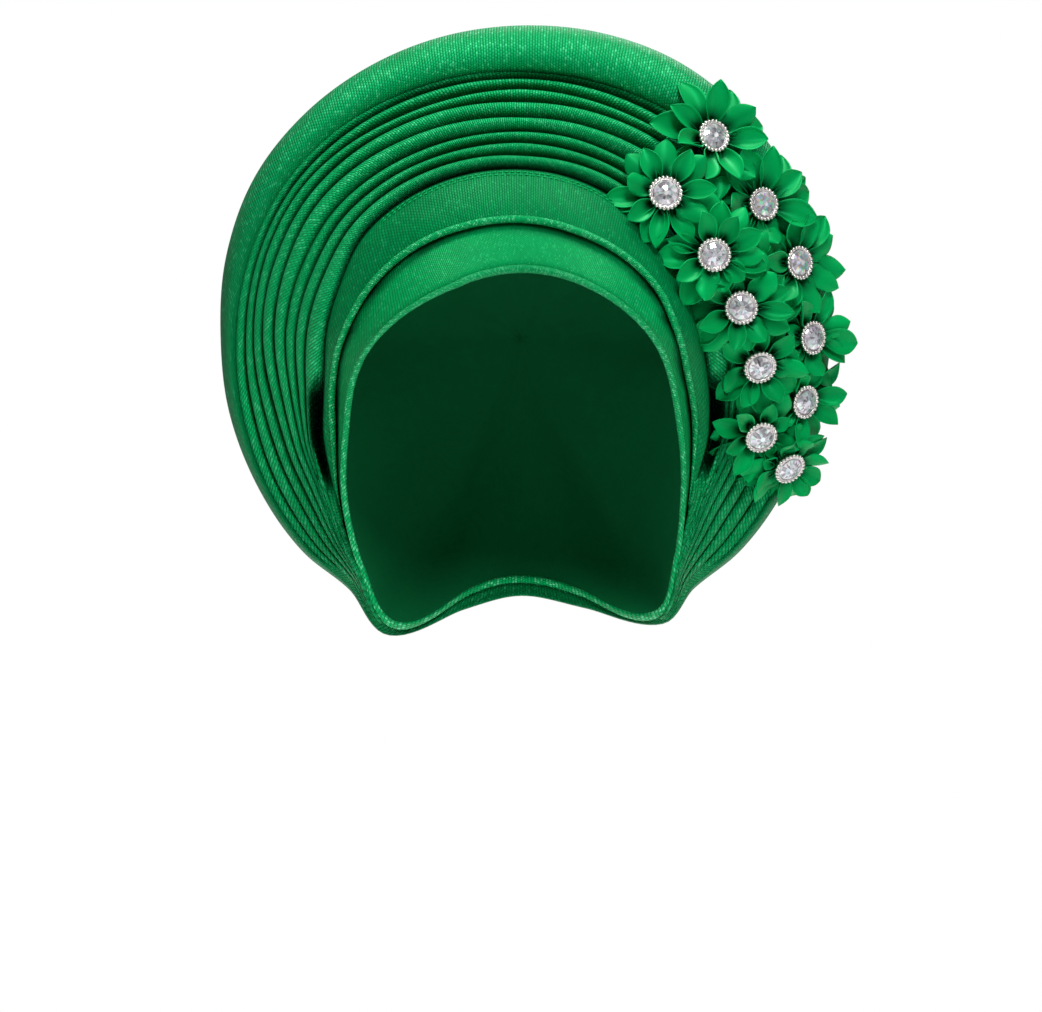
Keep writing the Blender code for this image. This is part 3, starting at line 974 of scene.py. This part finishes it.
@dataclass
class BrowBand:
    """The smooth band above the face band: piped along its lower edge, stitched twice near its top."""

    halo: Halo
    cloth: bpy.types.Material
    piping: bpy.types.Material
    thread: bpy.types.Material
    columns: int = 300
    rows: int = 18
    reach: float = 136.0
    lift: float = 2.3 * MM
    thickness: float = 1.0 * MM
    ripple: float = 0.3 * MM
    bulge: float = 0.07
    turn_in: float = 2.2 * MM
    slant: float = 0.8
    groove: float = 0.22 * MM
    groove_start: float = 0.80
    groove_end: float = 0.94
    edge_shade: float = 0.85
    pipe_radius: float = 1.5 * MM
    stitch_rows: tuple[float, float] = (0.680, 0.745)
    stitch_reach: float = 52.0
    stitch_length: float = 2.4 * MM
    stitch_share: float = 0.62
    stitch_radius: float = 0.22 * MM
    flat: tuple[float, float] = (0.366, 0.018)

    def profile(self, section: Section) -> list[Vector]:
        """The band's outer side from its lower edge to where it turns in behind its top edge.

        Args:
            section: The section.

        Returns:
            Points as distance from the axis and depth.
        """
        lift = self.lift * (1 - 0.6 * ease(abs(section.angle), 112.0, self.reach))
        low = self.halo.cap_point(section, math.radians(section.band), lift)
        high = self.halo.fan_edge(section) + Vector((-0.6, 0.6)) * MM
        way = high - low
        out = Vector((way.y, -way.x)).normalized()
        if out.y > 0:
            out = -out
        points = [low + way * share + out * self.bulge * way.length * full for share, full in BAND_BULGE]
        return [*points, high + Vector((0.3, 1.0)) * self.turn_in]

    def spot(self, across: float, up: float) -> Spot:
        """A point of the band's outer side.

        Args:
            across: Share of the way along the band.
            up: Share of the way from its lower edge to the inner end of its turned top edge.

        Returns:
            The point.
        """
        angle = lerp(-self.reach, self.reach, across)
        profile = self.profile(self.halo.section(angle))
        radius, depth = along(profile, up)
        share = up * len(BAND_BULGE) / (len(BAND_BULGE) - 1)
        if self.groove_start < share < self.groove_end:
            turn = 2 * math.pi * (share - self.groove_start) / (self.groove_end - self.groove_start)
            depth += self.groove * math.sin(turn) ** 2
        depth += self.ripple * waver(angle, up * 2, 5.0, 0.10)
        run = up * 1.25 * (profile[-2] - profile[0]).length
        flat = (math.radians(angle) * BAND_GRAIN + self.slant * math.sin(math.radians(angle)) * run, run)
        # Painted shade where the band's top edge turns in behind
        return Spot(self.halo.place(angle, radius, depth), flat, self.edge_shade * ease(share, 0.98, 1.1))

    def pipe_spot(self, across: float, around: float) -> Spot:
        """A point of the piping along the lower edge.

        Args:
            across: Share of the way along the band.
            around: Share of a turn round the piping.

        Returns:
            The point.
        """
        angle = lerp(-self.reach, self.reach, across)
        low = self.profile(self.halo.section(angle))[0]
        fade = 1 - 0.75 * ease(abs(angle), self.reach - 22, self.reach)
        radius = self.pipe_radius * fade * (1 + 0.06 * waver(angle, 1.0, 2.0, 0.6))
        return self.halo.tube_spot(angle, low, radius, around, BAND_GRAIN)

    def stitches(self) -> bmesh.types.BMesh:
        """Two rows of short stitches below the band's top edge, each a slim six-sided bar.

        Returns:
            The mesh.
        """
        bm = bmesh.new()
        for row in self.stitch_rows:
            angle = -self.stitch_reach
            while angle < self.stitch_reach:
                radius, depth = along(self.profile(self.halo.section(angle)), row)
                step = math.degrees(self.stitch_length / radius)
                start = self.halo.place(angle, radius, depth - self.ripple)
                end = self.halo.place(angle + step * self.stitch_share, radius, depth - self.ripple)
                axes = (end - start).to_track_quat("Z", "Y").to_matrix().to_4x4()
                bmesh.ops.create_cone(
                    bm,
                    cap_ends=True,
                    segments=6,
                    radius1=self.stitch_radius,
                    radius2=self.stitch_radius,
                    depth=(end - start).length,
                    matrix=Matrix.Translation((start + end) / 2) @ axes,
                )
                angle += step
        return bm

    def build(self) -> list[bpy.types.Object]:
        """Makes the band, its piping and its stitches.

        Returns:
            The pieces.
        """
        behind = Vector((0.0, self.halo.back, -self.halo.drop))
        grid = (self.columns, self.rows)
        band = lay_cloth("brow_band_cloth", grid, self.spot, behind, self.cloth, self.thickness)
        pipe = lay_tube("brow_band_piping", self.columns * 2, self.pipe_spot, self.piping)
        stitches = finish_mesh("brow_band_stitches", self.stitches(), self.thread)
        declare(band, Slot.CLOTH, "brow_band")
        declare(pipe, Slot.CLOTH)
        declare(stitches, Slot.CLOTH)
        trim = [pipe, stitches]
        return [band, *trim]


@dataclass
class PleatedFan:
    """The halo of eight pleats. Each crest stands in front of the pleat outside it."""

    halo: Halo
    cloth: bpy.types.Material
    columns: int = 330
    rows_per_pleat: int = 12
    reach: float = 154.0
    crease_depth: float = 9.0 * MM
    pocket_depth: float = 17.0 * MM
    pocket_angle: float = 116.0
    pocket_spread: float = 15.0
    turn_in: float = 1.5 * MM
    slant: float = 0.8
    fold_length: float = 2.3
    crease_shade: float = 0.80
    tip_shade: float = 0.40
    pocket_shade: float = 0.99
    thickness: float = 0.6 * MM
    flat: tuple[float, float] = (0.54, 0.115)

    def starts(self, angle: float) -> list[float]:
        """Where each pleat starts at an angle, as shares of the fan's width, with 1 at the end."""
        rows = [Vector(row[1:]) for row in CREASES]
        return [*along(rows, abs(angle) / CREASES[-1].angle), 1.0]

    def pocket(self, angle: float) -> float:
        """How open the pocket beside the brow band is at an angle, from 0 to 1."""
        return max(0.0, 1.0 - ((abs(angle) - self.pocket_angle) / self.pocket_spread) ** 2)

    def kept(self, index: int, angle: float) -> float:
        """The share of its depth that the pleat of an index keeps at an angle."""
        return lerp(1.0, TIP_DEPTH[index], ease(abs(angle), 120.0 - 2 * index, 146.0 - 3 * index))

    def profile(self, angle: float) -> list[Vector]:
        """The folded cloth's section from the crown roll inwards to behind the brow band.

        Args:
            angle: Degrees round the halo.

        Returns:
            Points as distance from the axis and depth.
        """
        section = self.halo.section(angle)
        outer = section.roll * self.halo.radius
        inner, inner_depth = self.halo.fan_edge(section)
        width = outer - inner
        starts = self.starts(angle)
        fade = lerp(1.0, 0.30, ease(abs(angle), 100.0, self.reach))
        side = ease(abs(angle), 25.0, 95.0)
        points = []
        for index, forward in enumerate(CREST_FORWARD):
            start, end = starts[index], starts[index + 1]
            line, next_line = (
                lerp(section.roll_depth * self.halo.back, inner_depth, share) for share in (start, end)
            )
            sway = 0.008 * waver(angle, index * 3.1, 1.0, 0.045) * ease(self.reach - abs(angle), 0, 30)
            edge = outer - width * (start + (sway if index else 0.0))
            fold = width * (end - start)
            deep = self.crease_depth * fade * (1 + 0.25 * waver(angle, index * 2.3, 4.0, 0.05))
            deep = min(deep, 2.2 * fold) * self.kept(index, angle)
            rise = forward * MM * fade * (1 + 0.4 * waver(angle, index * 1.7, 6.0, 0.04))
            crest = line - rise * (lerp(1.0, 0.15, side) if forward < 0 else 1.0)
            innermost = index == len(CREST_FORWARD) - 1
            pocket = self.pocket_depth * self.pocket(angle) if innermost else 0.0
            for point in FOLD:
                step = lerp(point.step, point.side_step, side)
                sink = lerp(point.sink, point.side_sink, side)
                lean = (next_line - line) * max(step, 0.0)
                extra = pocket * ease(step, 0.1, 0.8)
                points.append(Vector((edge - step * fold, crest + lean + sink * deep + extra)))
        points.append(Vector((outer - width - self.turn_in, points[-1].y + 0.3 * deep)))
        return points

    def spot(self, across: float, inward: float) -> Spot:
        """A point of the fan's outer side.

        Args:
            across: Share of the way along the fan.
            inward: Share of the way from the crown roll to behind the brow band.

        Returns:
            The point.
        """
        angle = lerp(-self.reach, self.reach, across)
        profile = self.profile(angle)
        radius, depth = along(profile, inward)
        step = inward * (len(profile) - 1) / len(FOLD)
        index = min(int(step), len(CREST_FORWARD) - 1)
        share = step - index
        run = inward * self.fold_length * (profile[0].x - profile[-1].x)
        flat = (math.radians(angle) * FAN_GRAIN + self.slant * bias(angle) * run, run)
        side = ease(abs(angle), 30.0, 90.0)
        # Painted shade in the crease behind each crest and under it, fading where the pleats run out, and
        # over the fan's lower tips
        back = (1 - ease(share, 0.02, 0.26)) * self.kept(max(index - 1, 0), angle)
        under = ease(share, lerp(0.48, 0.66, side), lerp(0.92, 0.99, side)) * self.kept(index, angle)
        shade = max(self.crease_shade * max(back, under), self.tip_shade * ease(abs(angle), 100.0, 140.0))
        # Painted shade in the deep pocket beside the brow band
        if index == len(CREST_FORWARD) - 1:
            dark = min(1.0, 1.6 * self.pocket(angle)) * ease(share, 0.12, 0.45)
            shade = max(shade, self.pocket_shade * dark)
        return Spot(self.halo.place(angle, radius, depth), flat, shade)

    def build(self) -> list[bpy.types.Object]:
        """Makes the fan.

        Returns:
            The piece, in a list.
        """
        behind = Vector((0.0, self.halo.back, -self.halo.drop))
        grid = (self.columns, len(CREST_FORWARD) * self.rows_per_pleat)
        fan = lay_cloth("fan_cloth", grid, self.spot, behind, self.cloth, self.thickness)
        declare(fan, Slot.CLOTH, "pleated_fan")
        return [fan]


@dataclass
class CrownRoll:
    """The wide roll along the top, which turns over into the plain back down to the nape."""

    halo: Halo
    cloth: bpy.types.Material
    columns: int = 320
    rows: int = 48
    roll_share: float = 0.38
    roll_length: float = 0.034
    back_length: float = 0.16
    tuck: float = 5.5 * MM
    roll_swings: tuple[float, ...] = (14.0, 34.0, 55.0, 74.0)
    slant: float = 0.8
    slant_length: float = 0.05
    gathers: int = 17
    gather_depth: float = 1.5 * MM
    fullness: float = 1.4 * MM
    crease_shade: float = 0.85
    side_shade: float = 0.36
    thickness: float = 1.2 * MM
    flat: tuple[float, float] = (0.40, 0.38)
    area: float = 0.106

    def crest(self, section: Section) -> float:
        """The crest's distance from the axis, a little proud where the roll is full."""
        return section.crest * self.halo.radius + self.fullness * ease(118.0 - abs(section.angle), 0.0, 40.0)

    def front(self, section: Section) -> list[Vector]:
        """The roll's section from the crease behind the fan's first crest to the outline.

        Args:
            section: The section.

        Returns:
            Points as distance from the axis and depth.
        """
        side = abs(section.angle)
        roll, crest = section.roll * self.halo.radius, self.crest(section)
        low, high = section.roll_depth * self.halo.back, section.crest_depth * self.halo.back
        wide = crest - roll
        open_share = ease(150.0 - side, 0.0, 12.0)
        tuck = self.tuck * open_share * min(1.0, wide / (6 * MM)) * lerp(1.0, 0.5, ease(side, 30.0, 85.0))
        lip = self.halo.cap_point(section, math.radians(section.hem + 3.0), 0.2 * MM)
        inner = Vector((roll - 0.25 * tuck, low + tuck))
        outer = Vector((roll + 0.05 * tuck, low + 0.45 * tuck))
        points = [lip.lerp(inner, open_share), lip.lerp(Vector((roll, low)), 0.5).lerp(outer, open_share)]
        for swing in map(math.radians, self.roll_swings):
            share = (1 - math.cos(swing)) ** 1.45
            points.append(Vector((roll + wide * math.sin(swing), lerp(low, high, share))))
        return [*points, Vector((crest, high))]

    def spot(self, across: float, back: float) -> Spot:
        """A point of the crown's outer side.

        Args:
            across: Share of the turn round the halo.
            back: Share of the way from the crease to the back pole.

        Returns:
            The point.
        """
        angle = lerp(-180.0, 180.0, across)
        side, turn = abs(angle), math.radians(angle)
        section = self.halo.section(angle)
        # Painted shade, darker towards the sides
        painted_side_shade = self.side_shade * ease(side, 20.0, 100.0)
        if back < self.roll_share:
            share = back / self.roll_share
            radius, depth = along(self.front(section), share)
            # Painted shade in the crease by the fan
            dark = 1 - ease(share, 0.0, lerp(0.22, 0.14, ease(side, 30.0, 85.0)))
            shade = max(self.crease_shade * dark * ease(150.0 - side, 0.0, 14.0), painted_side_shade)
            length = share * self.roll_length
        else:
            share = (back - self.roll_share) / (1 - self.roll_share)
            swing = math.pi / 2 * share
            radius = 0.0 if back > AT_POLE else self.crest(section) * math.cos(swing)
            depth = lerp(section.crest_depth * self.halo.back, self.halo.back, math.sin(swing))
            shade = painted_side_shade * (1 - ease(share, 0.0, 0.5))
            length = self.roll_length + share * self.back_length
            swell = ease(share, 0.06, 0.45) * (1 - ease(share, 0.8, 1.0)) * ease(math.cos(turn), 1.0, -0.6)
            gather = math.sin(turn * self.gathers + 2.2 * waver(angle, share, 8.0, 0.02))
            radius += self.gather_depth * (gather - 0.6) * swell
        reach = self.slant_length * (1 - math.exp(-length / self.slant_length))
        lean = self.slant * bias(angle) * reach * ease(180.0 - side, 0.0, 60.0)
        return Spot(self.halo.place(angle, radius, depth), (turn * CROWN_GRAIN + lean, length), shade)

    def build(self) -> list[bpy.types.Object]:
        """Makes the crown.

        Returns:
            The piece, in a list.
        """
        middle = Vector((0.0, 0.03, -self.halo.drop))
        grid = (self.columns, self.rows)
        crown = lay_cloth("crown_cloth", grid, self.spot, middle, self.cloth, self.thickness)
        declare(crown, Slot.CLOTH, "crown_roll")
        return [crown]


# Flowers and stones


@dataclass
class FlowerSpray:
    """The ribbon flowers down the viewer's right, each with a stone in a beaded setting."""

    halo: Halo
    satin: bpy.types.Material
    satin_edge: bpy.types.Material
    silver: bpy.types.Material
    crystal: bpy.types.Material
    petal_length: float = 17.2 * MM
    petal_half_width: float = 5.4 * MM
    foot: float = 5.4 * MM
    clearance: float = 7.5 * MM
    petal_rows: int = 14
    petal_columns: int = 12
    ribbon: float = 0.30 * MM
    spin: float = 0.4
    rim_steps: int = 36
    beads: int = 24
    bead_radius: float = 0.86 * MM
    bead_ring: float = 6.15 * MM
    bead_height: float = 1.9 * MM
    stone_radius: float = 5.15 * MM
    stone_base: float = 1.1 * MM
    stone_sides: int = 16

    def frame_of(self, number: int, flower: Flower) -> Matrix:
        """The axes of a flower at its setting's base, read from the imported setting.

        Args:
            number: The flower's number in the nodes' names.
            flower: Its row in the table.

        Returns:
            A matrix whose z axis looks out of the flower's face.
        """
        turn = Matrix.Rotation(math.radians(flower.turn), 4, "Z")
        nod = Matrix.Rotation(math.radians(90 + flower.nod), 4, "X")
        axes = turn @ nod
        out = axes.col[2].to_3d()
        points = [vert.co.copy() for vert in bpy.data.objects[f"setting_{number:02d}"].data.vertices]
        middle = sum(points, Vector()) / len(points)
        base = min(point.dot(out) for point in points)
        spin = Matrix.Rotation(self.spin * (number - 1), 4, "Z")
        return Matrix.Translation(middle + out * (base - middle.dot(out))) @ axes @ spin

    def room(self, frame: Matrix, middles: Sequence[Vector], turn: float) -> float:
        """How far a petal may reach before it would cover a neighbour's stone.

        Args:
            frame: The flower's axes.
            middles: The middles of all settings.
            turn: Radians round the flower.

        Returns:
            The free reach from the flower's middle in metres.
        """
        way = (frame @ Matrix.Rotation(turn, 4, "Z")).col[1].to_3d()
        reach = 1.0
        for middle in middles:
            gap = middle - frame.translation
            ahead = gap.dot(way)
            if ahead > 1 * MM and (gap - way * ahead).length < 0.6 * ahead:
                reach = min(reach, ahead - self.clearance)
        return reach

    def petal(
        self, bm: bmesh.types.BMesh, layer: PetalLayer, size: float, turn: float, seed: float, room: float
    ) -> None:
        """Adds one folded petal: ribbon rolled to a deep cup at its root and spread to a blunt point.

        Args:
            bm: The flower's mesh.
            layer: The petal's ring.
            size: The flower's size as a share.
            turn: Radians round the flower.
            seed: Makes each petal a little different.
            room: How far it may reach from the flower's middle, in metres.
        """
        longer, wider, twist, rise, swing, bend, lean, tone, opening = (chance(seed, i) for i in range(1, 10))
        size *= layer.scale
        length = self.petal_length * size * (1 + 0.12 * longer)
        length = min(length, max(room - self.foot, 0.5 * length))
        half = self.petal_half_width * size * (1 + 0.10 * wider)
        twist *= 0.55
        tilt = layer.tilt + 0.24 * rise
        turned = Matrix.Rotation(turn + 0.16 * swing, 3, "Z")
        bend = 0.34 + 0.24 * bend
        lean *= 0.45
        spread_curl = -0.75 if opening > 0.15 else 1.05
        tone = 0.16 * (1 + tone)

        def spot(across: float, out: float) -> Spot:
            """A point of the petal.

            Args:
                across: Share of the ribbon's width.
                out: Share of the way from the root to the tip.

            Returns:
                The point.
            """
            side = 2 * across - 1
            spread = 0.62 + 0.38 * math.sin(math.pi / 2 * min(out / 0.62, 1.0))
            wide = half * spread * max(1 - max(0.0, (out - 0.60) / 0.40) ** 2.3, 0.0)
            curl = lerp(2.5, spread_curl, ease(out, -0.05, 0.55)) * (1 + 0.3 * lean * side)
            curl = math.copysign(max(abs(curl), 0.05), curl)
            x = wide / curl * math.sin(curl * side)
            z = wide / curl * (1 - math.cos(curl * side))
            roll = twist * out
            x, z = x * math.cos(roll) - z * math.sin(roll), x * math.sin(roll) + z * math.cos(roll)
            x += 0.10 * lean * length * out**2
            y = length * out
            z += length * (0.30 * out - bend * out**2)
            y, z = y * math.cos(tilt) - z * math.sin(tilt), y * math.sin(tilt) + z * math.cos(tilt)
            # Painted shade at the petal's root and along its middle crease; the random tone added to it is
            # the petal's own
            painted_fold_shade = 0.97 * (1 - ease(out, 0.04, 0.56)) * (1 - 0.45 * abs(side))
            painted_fold_shade += 0.30 * (1 - abs(side)) ** 2 * (1 - out)
            flat = (side * half * 1.2 + seed * 0.011, out * length + seed * 0.013)
            shade = max(min(0.97, painted_fold_shade + tone), 0.0)
            return Spot(turned @ Vector((x, self.foot + y, layer.lift + z)), flat, shade)

        lay_grid(bm, self.petal_columns, self.petal_rows, spot)

    def flower(self, number: int, size: float, frame: Matrix, middles: Sequence[Vector]) -> bmesh.types.BMesh:
        """One flower in its own axes, with its face up and its setting's base at height 0.

        Args:
            number: The flower's number.
            size: Its size as a share.
            frame: Its axes.
            middles: The middles of all settings.

        Returns:
            The mesh.
        """
        bm = bmesh.new()
        for ring, layer in enumerate(PETAL_LAYERS):
            for index in range(layer.petals):
                turn = 2 * math.pi * (index + layer.shift) / layer.petals
                seed = number * 7.3 + ring * 3.1 + index * 1.7
                self.petal(bm, layer, size, turn, seed, self.room(frame, middles, turn))
        return bm

    def setting(self) -> bmesh.types.BMesh:
        """The beaded rim on a shallow cup.

        Returns:
            The mesh.
        """
        bm = bmesh.new()
        verts = [bm.verts.new((radius * MM, 0.0, height * MM)) for radius, height in RIM]
        edges = [bm.edges.new(pair) for pair in zip(verts, verts[1:])]
        bmesh.ops.spin(
            bm,
            geom=verts + edges,
            cent=(0, 0, 0),
            axis=(0, 0, 1),
            angle=2 * math.pi,
            steps=self.rim_steps,
            use_merge=True,
        )
        bmesh.ops.remove_doubles(bm, verts=bm.verts[:], dist=TOUCHING)
        bmesh.ops.recalc_face_normals(bm, faces=bm.faces[:])
        for index in range(self.beads):
            turn = 2 * math.pi * index / self.beads
            spot = (math.cos(turn) * self.bead_ring, math.sin(turn) * self.bead_ring, self.bead_height)
            place = Matrix.Translation(spot)
            bmesh.ops.create_uvsphere(bm, u_segments=10, v_segments=7, radius=self.bead_radius, matrix=place)
        return bm

    def stone(self, number: int) -> bmesh.types.BMesh:
        """A round stone: a small table, two rings of long facets and a girdle, each facet with its own tint.

        Args:
            number: The flower's number.

        Returns:
            The mesh.
        """
        bm = bmesh.new()
        base = Matrix.Translation((0.0, 0.0, self.stone_base))
        bmesh.ops.create_circle(
            bm, cap_ends=True, segments=self.stone_sides, radius=self.stone_radius, matrix=base
        )
        top = bm.faces[:]
        for cut in CUTS:
            grown = bmesh.ops.extrude_face_region(bm, geom=top)["geom"]
            bmesh.ops.delete(bm, geom=top, context="FACES_ONLY")
            top = [item for item in grown if isinstance(item, bmesh.types.BMFace)]
            verts = [item for item in grown if isinstance(item, bmesh.types.BMVert)]
            size = cut.radius * self.stone_radius / max(vert.co.xy.length for vert in verts)
            turn = Matrix.Rotation(math.pi * 2 * cut.shift / self.stone_sides, 3, "Z")
            for vert in verts:
                vert.co = turn @ Vector((vert.co.x * size, vert.co.y * size, vert.co.z + cut.height * MM))
        bmesh.ops.holes_fill(bm, edges=[edge for edge in bm.edges if edge.is_boundary], sides=0)
        sloping = [face for face in bm.faces if len(face.verts) == 4 and abs(face.normal.z) > 0.2]
        bmesh.ops.triangulate(bm, faces=sloping)
        bmesh.ops.recalc_face_normals(bm, faces=bm.faces[:])
        layer = bm.loops.layers.float_color.new("tint")
        # Painted reflections in whites and greys from the heart to the edge, with the coat's tints among them
        ring = STONE_RAINBOW if number in RAINBOW_STONES else STONE_RING
        for index, face in enumerate(bm.faces):
            share = face.calc_center_median().xy.length / self.stone_radius
            tints = STONE_HEART if share < 0.30 else ring if share < 0.72 else STONE_EDGE
            pick = int(abs(noise.noise(Vector((index * 1.37, number * 5.1, 0.3)))) * 997)
            for loop in face.loops:
                loop[layer] = linear(tints[pick % len(tints)])
        return bm

    def build(self) -> list[bpy.types.Object]:
        """Makes the flowers with their settings and stones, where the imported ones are.

        Returns:
            The pieces.
        """
        made = []
        frames = [self.frame_of(number, flower) for number, flower in enumerate(FLOWERS, 1)]
        middles = [frame.translation for frame in frames]
        for number, (flower, frame) in enumerate(zip(FLOWERS, frames), 1):
            petals = self.flower(number, flower.size, frame, middles)
            rows = (
                ("flower", "ribbon_petals", petals, self.satin, Slot.SATIN),
                ("setting", "beaded_setting", self.setting(), self.silver, Slot.SILVER),
                ("stone", "cut_stone", self.stone(number), self.crystal, Slot.CRYSTAL),
            )
            for packed, name, bm, material, slot in rows:
                bm.transform(frame)
                piece = finish_mesh(f"{name}_{number:02d}", bm, material, smooth=slot is not Slot.CRYSTAL)
                if slot is Slot.SATIN:
                    add_thickness(piece, self.ribbon)
                    # The lighter satin on the ribbon's cut edges is a painted highlight
                    piece.data.materials.append(self.satin_edge)
                    piece.modifiers["thickness"].material_offset_rim = 1
                declare(piece, slot, f"{packed}_{number:02d}")
                made.append(piece)
        return made


# Stage


@dataclass
class Studio:
    """A plain pale floor and backdrop, soft lights and the photograph's camera."""

    halo: Halo
    pixels: tuple[int, int] = (1042, 1012)
    millimetres_per_pixel: float = 0.40
    axis_pixel: tuple[float, float] = (522.0, 332.0)
    distance: float = 3.2
    focus_depth: float = -0.02
    sensor: float = 36.0
    aim: tuple[float, float, float] = (0.0, 0.0, -0.07)
    floor: float = -0.43
    floor_size: float = 1.3
    floor_glow: float = 0.20
    air: float = 0.13

    def ground(self) -> None:
        """A wide floor of white card below the head tie. It glows a little, as card near a lamp does."""
        material, tree, shader = start_material("white_card")
        fill_inputs(tree, shader, {
            "Base Color": linear("#F4F4F4"),
            "Roughness": 0.9,
            "Emission Color": linear("#FFFFFF"),
            "Emission Strength": self.floor_glow,
        })
        bm = bmesh.new()
        place = Matrix.Translation((0.0, 0.0, self.floor))
        bmesh.ops.create_circle(bm, cap_ends=True, segments=64, radius=self.floor_size, matrix=place)
        finish_mesh("card_floor", bm, material)

    def lights(self) -> None:
        """A soft key from high in front, which leaves the creases dark, with weaker ones round it."""
        for lamp in LAMPS:
            data = bpy.data.lights.new(lamp.name, "AREA")
            data.shape = "DISK"
            data.size = lamp.width
            data.energy = lamp.power
            light = add_object(lamp.name, data)
            light.location = lamp.spot
            way = Vector(self.aim) - Vector(lamp.spot)
            light.rotation_euler = way.to_track_quat("-Z", "Y").to_euler()

    def world(self) -> None:
        """A white room behind the object, which gives only a weak light all round."""
        world = bpy.data.worlds.new("studio_air")
        world.use_nodes = True
        tree = world.node_tree
        seen = add_node(tree, "LightPath").outputs["Is Camera Ray"]
        span = {VALUE: seen, FROM_MIN: 0.0, FROM_MAX: 1.0, TO_MIN: self.air, TO_MAX: 1.0}
        brightness = add_node(tree, "MapRange", span)
        fill_inputs(tree, tree.nodes["Background"], {0: linear("#FFFFFF"), 1: brightness})
        bpy.context.scene.world = world

    def camera(self) -> None:
        """Looks level along +Y at the place that is the middle of the photograph."""
        scale = self.millimetres_per_pixel * MM
        x = (self.pixels[0] / 2 - self.axis_pixel[0]) * scale
        z = -self.halo.drop - (self.pixels[1] / 2 - self.axis_pixel[1]) * scale
        data = bpy.data.cameras.new("camera")
        data.sensor_fit = "HORIZONTAL"
        data.sensor_width = self.sensor
        data.lens = self.sensor * (self.distance + self.focus_depth) / (self.pixels[0] * scale)
        data.clip_end = 50.0
        camera = add_object("camera", data)
        camera.location = (x, -self.distance, z)
        camera.rotation_euler = (math.pi / 2, 0.0, 0.0)
        bpy.context.scene.camera = camera

    def build(self) -> None:
        """Sets the stage."""
        self.ground()
        self.lights()
        self.world()
        self.camera()
        bpy.context.scene.view_settings.view_transform = "Standard"
        LOG.info("studio: ready")


def main() -> None:
    """Builds each sub-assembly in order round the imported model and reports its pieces."""
    logging.basicConfig(level=logging.INFO, format="%(message)s")
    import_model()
    halo = Halo()
    cloth = GlitterCloth("glitter_cloth").build()
    # A darker copy of the same cloth: painted shade on the brow band
    band_cloth = GlitterCloth(
        "glitter_cloth_band", base="#006636", light="#00AC5C", gap="#005A2E", rib=1.4 * MM, relief=0.16 * MM,
        flash_share=0.10, flash_power=0.14, roughness=0.48, level=0.45
    ).build()
    # A lighter copy of the same cloth: painted light on the face band
    face_cloth = GlitterCloth(
        "glitter_cloth_face", base="#008646", light="#06CC70", gap="#00723A", rib=1.4 * MM, relief=0.18 * MM,
        flash_share=0.16, flash_power=0.30, roughness=0.46, level=0.6
    ).build()
    # A lighter copy with more painted glints and darker painted shade between the ribs: painted light on the
    # pleats
    pleat_cloth = GlitterCloth(
        "glitter_cloth_pleats", base="#009E52", light="#26E08C", gap="#005C2C", rib=1.35 * MM, dash=1.3 * MM,
        relief=0.30 * MM, flash_share=0.30, roughness=0.38, level=0.8
    ).build()
    # A lighter copy with many painted glints: a painted highlight on the hem and the piping
    trim = GlitterCloth(
        "glitter_trim", base="#00A456", light="#1ADC84", flash="#80FFBC", rib=0.9 * MM, dash=1.0 * MM,
        flash_share=0.40, flash_power=0.75, roughness=0.36
    ).build()
    reverse = ClothReverse("cloth_reverse").build()
    satin = SatinRibbon("satin_ribbon").build()
    # A lighter copy of the satin: a painted highlight on the petals' edges, and the pale thread of the brow
    # band's stitches
    satin_edge = SatinRibbon("satin_ribbon_edge", base="#00A050", light="#0CB866").build()
    silver = SilverPlate("silver_plate").build()
    crystal = FoiledCrystal("foiled_crystal").build()
    assemblies = (
        HeadCap(halo, face_cloth, trim, reverse),
        BrowBand(halo, band_cloth, trim, satin_edge),
        PleatedFan(halo, pleat_cloth),
        CrownRoll(halo, cloth),
        FlowerSpray(halo, satin, satin_edge, silver, crystal),
    )
    for assembly in assemblies:
        for piece in assembly.build():
            LOG.info("%s: %d faces", piece.name, len(piece.data.polygons))
    Studio(halo).build()


if __name__ == "__main__":
    main()
